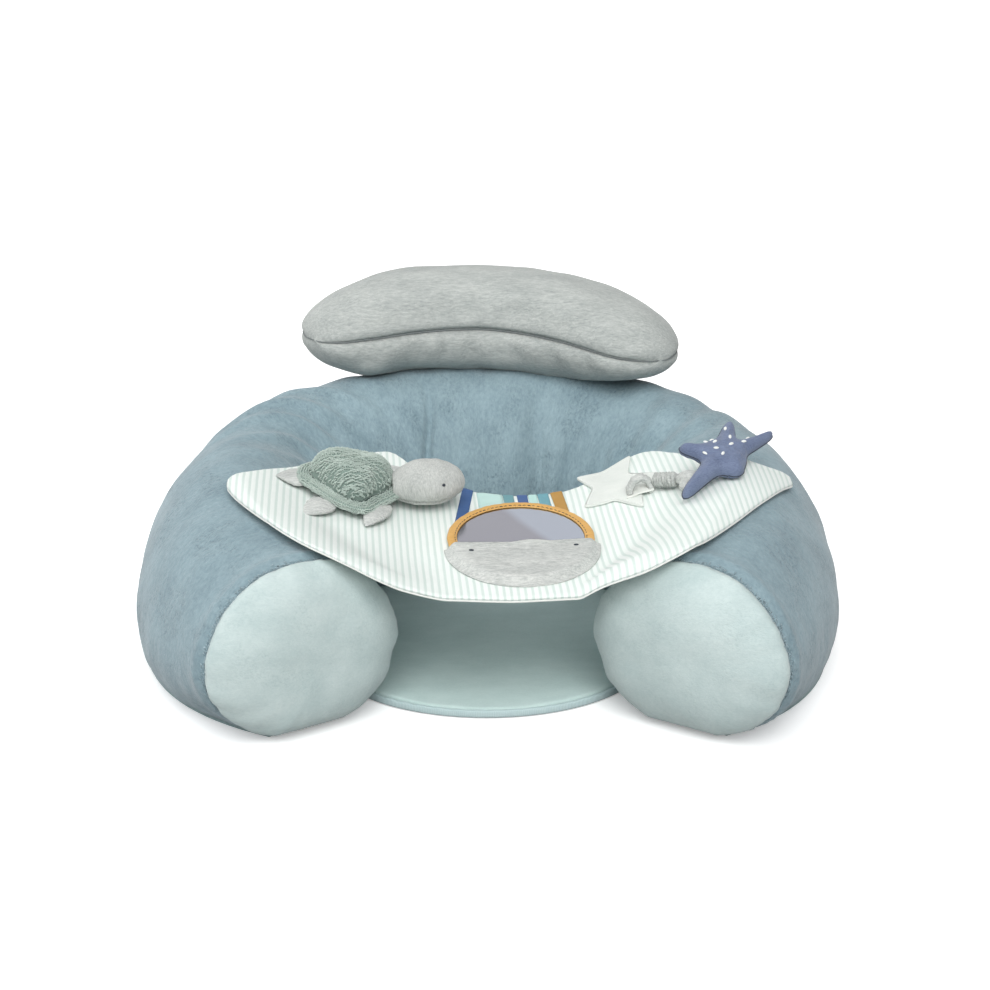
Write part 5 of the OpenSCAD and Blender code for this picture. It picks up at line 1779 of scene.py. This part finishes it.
off = outward(points, faces)

# %% Seam and puckers of the pillow
on_rows = len(pillow_qs) * pillow_sides
index = np.arange(len(points))
place_round = np.where(index < on_rows, index % pillow_sides, 0) * 360 / pillow_sides
q = pillow_qs[np.minimum(index // pillow_sides, len(pillow_qs) - 1)]
front = hump(place_round, 180, 90)
to_seam = np.minimum(abs(place_round - 180), np.minimum(place_round, 360 - place_round))
seam_mm = np.radians(to_seam) * np.maximum(pillow_w / 2 * pillow_part(q) * 0.75, 6)
along = q * pillow_l / 2
end_fade = share((1 - abs(q)) / 0.03)
lift = (0.8 * hump(seam_mm, 7, 5) - 1.5 * hump(seam_mm, 0, 2.0)) * end_fade
tuck = np.sin(2 * np.pi * (along + 9 * drift(points, 40, 91)) / 15)
lift += 0.6 * tuck * np.exp(-seam_mm / 18) * front * ease((seam_mm - 3) / 12)
sway = np.sin(2 * np.pi * (along + 20 * drift(points, 60, 92)) / 52)
lift += 2.2 * sway * np.exp(-seam_mm / 30) * front * ease((-points[:, 2] - 3) / 16)
lift += drift(points, 80, 93) * 3.0 + drift(points, 34, 94) * 1.2
points = points + off * lift[:, None]
half_rows, half_off = (a[:on_rows].reshape(len(pillow_qs), pillow_sides, 3) for a in (points, off))
seam_rows = half_rows + 0.45 * half_off

# %% Upper and lower panels
for name, used, nodes in (("pillow_upper", np.arange(49), "pillow_top pillow_filling"),
                          ("pillow_lower", np.arange(48, 97) % pillow_sides, "pillow_bottom")):
    outer = half_rows[:, used]
    middle = outer.mean(axis=1)
    inner = mix(outer, middle[:, None], 0.03)
    for end, beside in ((0, 1), (-1, -2)):
        inner[:, end] = mix(mix(outer[:, end], outer[:, beside], 0.3), middle, 0.04)
    piece(name, moved(on_pillow, slab(outer, inner)), jersey, "pillow", nodes)
seam_line = np.vstack([seam_rows[4:-4, 48], seam_rows[-5:3:-1, 0], seam_rows[4:6, 48]])
piece("pillow_seam", moved(on_pillow, tube(seam_line, 0.55, 8)), seam_thread, "pillow")

# %% [markdown]
# ## Zip under the back
# Two tapes with a row of teeth on each, a slider without a pull tab, and a stop at each end.

# %% Zip tapes and teeth
tooth_bend = ((0, 0, 2.75), (0, 0.5, 2.5), (0.2, 1.6, 2.6), (0.3, 1.9, 3.3), (0.2, 1.4, 4.1), (0, 0.5, 4.2),
              (0, 0, 3.9))
tape_parts, tooth_parts = [], []
xs = np.linspace(-zip_l / 2, zip_l / 2, 60)
for side in (-1, 1):
    y = zip_y + side * 7.55
    top = np.array([[(x, y + w, 3.65 + 0.12 * math.sin(x / 7)) for w in (-4.35, -2, 0, 2, 4.35)] for x in xs])
    tape_parts.append(slab(top, top - [0, 0, 0.5]))
    for x in np.arange(-zip_l / 2 + 0.6, zip_l / 2 - 0.4, 1.25):
        line = [(x + ahead, zip_y + side * (0.85 + away), z) for ahead, away, z in tooth_bend]
        tooth_parts.append(tube(line, 0.34, 5))
piece("zip_tape_pair", joined(tape_parts), tape_cloth, "seat", "zip_tapes")
piece("zip_teeth", joined(tooth_parts), tooth_cloth, "seat", "zip_coils")
for node in ("zip_slider", "zip_stops"):
    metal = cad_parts[node]
    metal.data.materials.clear()
    metal.data.materials.append(zip_metal)

# %% Padding that shows in the zip's slot
pad_line = whole_outline(8)
padding = base_sheet("base_wadding", [pad_line, zip_slot * [1.01, 1]], base_t + 0.05, base_t + 0.25, calico,
    "base_padding")
pad_flat, pad_area = measured(pad_line)
pad_area -= measured(zip_slot)[1]

# %% [markdown]
# ## Floor and light
# A plain white floor, a soft sky all round and three broad lamps, as in a photo studio. The floor is white
# for the camera and keeps the seat's shadow.

# %% Floor
floor_material = bpy.data.materials.new("floor")
floor_material.use_nodes = True
tree = floor_material.node_tree
shader = tree.nodes["Principled BSDF"]
seen = put(tree, "LightPath").outputs["Is Camera Ray"]
floor_colour = colour_mix(tree, seen, (0.48, 0.48, 0.48, 1), (1.0, 1.0, 1.0, 1))
tree.links.new(floor_colour, shader.inputs["Base Color"])
shader.inputs["Roughness"].default_value = 1.0
shader.inputs["Specular IOR Level"].default_value = 0.0
shader.inputs["Emission Color"].default_value = (1, 1, 1, 1)
tree.links.new(maths(tree, "MULTIPLY", seen, 0.25), shader.inputs["Emission Strength"])
floor_mesh = bpy.data.meshes.new("floor")
floor_mesh.from_pydata([(-30, -30, 0), (30, -30, 0), (30, 30, 0), (-30, 30, 0)], [], [(0, 1, 2, 3)])
floor = bpy.data.objects.new("floor", floor_mesh)
floor_mesh.materials.append(floor_material)
bpy.context.collection.objects.link(floor)

# %% World and lamps
world = bpy.data.worlds.new("studio")
bpy.context.scene.world = world
world.use_nodes = True
tree = world.node_tree
background = tree.nodes["Background"]
rays = put(tree, "LightPath").outputs
shiny = maths(tree, "MAXIMUM", rays["Is Glossy Ray"], rays["Is Transmission Ray"])
seen = maths(tree, "MAXIMUM", rays["Is Camera Ray"], shiny)
across = put(tree, "SeparateXYZ", {"Vector": put(tree, "TexCoord").outputs["Generated"]}).outputs["X"]
sky = maths(tree, "MULTIPLY_ADD", across, -0.12, 0.27)
strength = put(tree, "MapRange", {"Value": seen, "To Min": sky, "To Max": 1.0}).outputs[0]
tree.links.new(strength, background.inputs["Strength"])
background.inputs["Color"].default_value = (1, 1, 1, 1)

for name, energy, spread, tilt, turn_by in (("overhead", 0.4, 70, 15, -50), ("key", 2.6, 45, 46, 5),
                                            ("left", 0.95, 60, 62, -108)):
    lamp_data = bpy.data.lights.new(name, "SUN")
    lamp_data.energy = energy
    lamp_data.angle = math.radians(spread)
    lamp = bpy.data.objects.new(name, lamp_data)
    lamp.rotation_euler = (math.radians(tilt), 0, math.radians(turn_by))
    bpy.context.collection.objects.link(lamp)
bpy.context.scene.view_settings.view_transform = "Standard"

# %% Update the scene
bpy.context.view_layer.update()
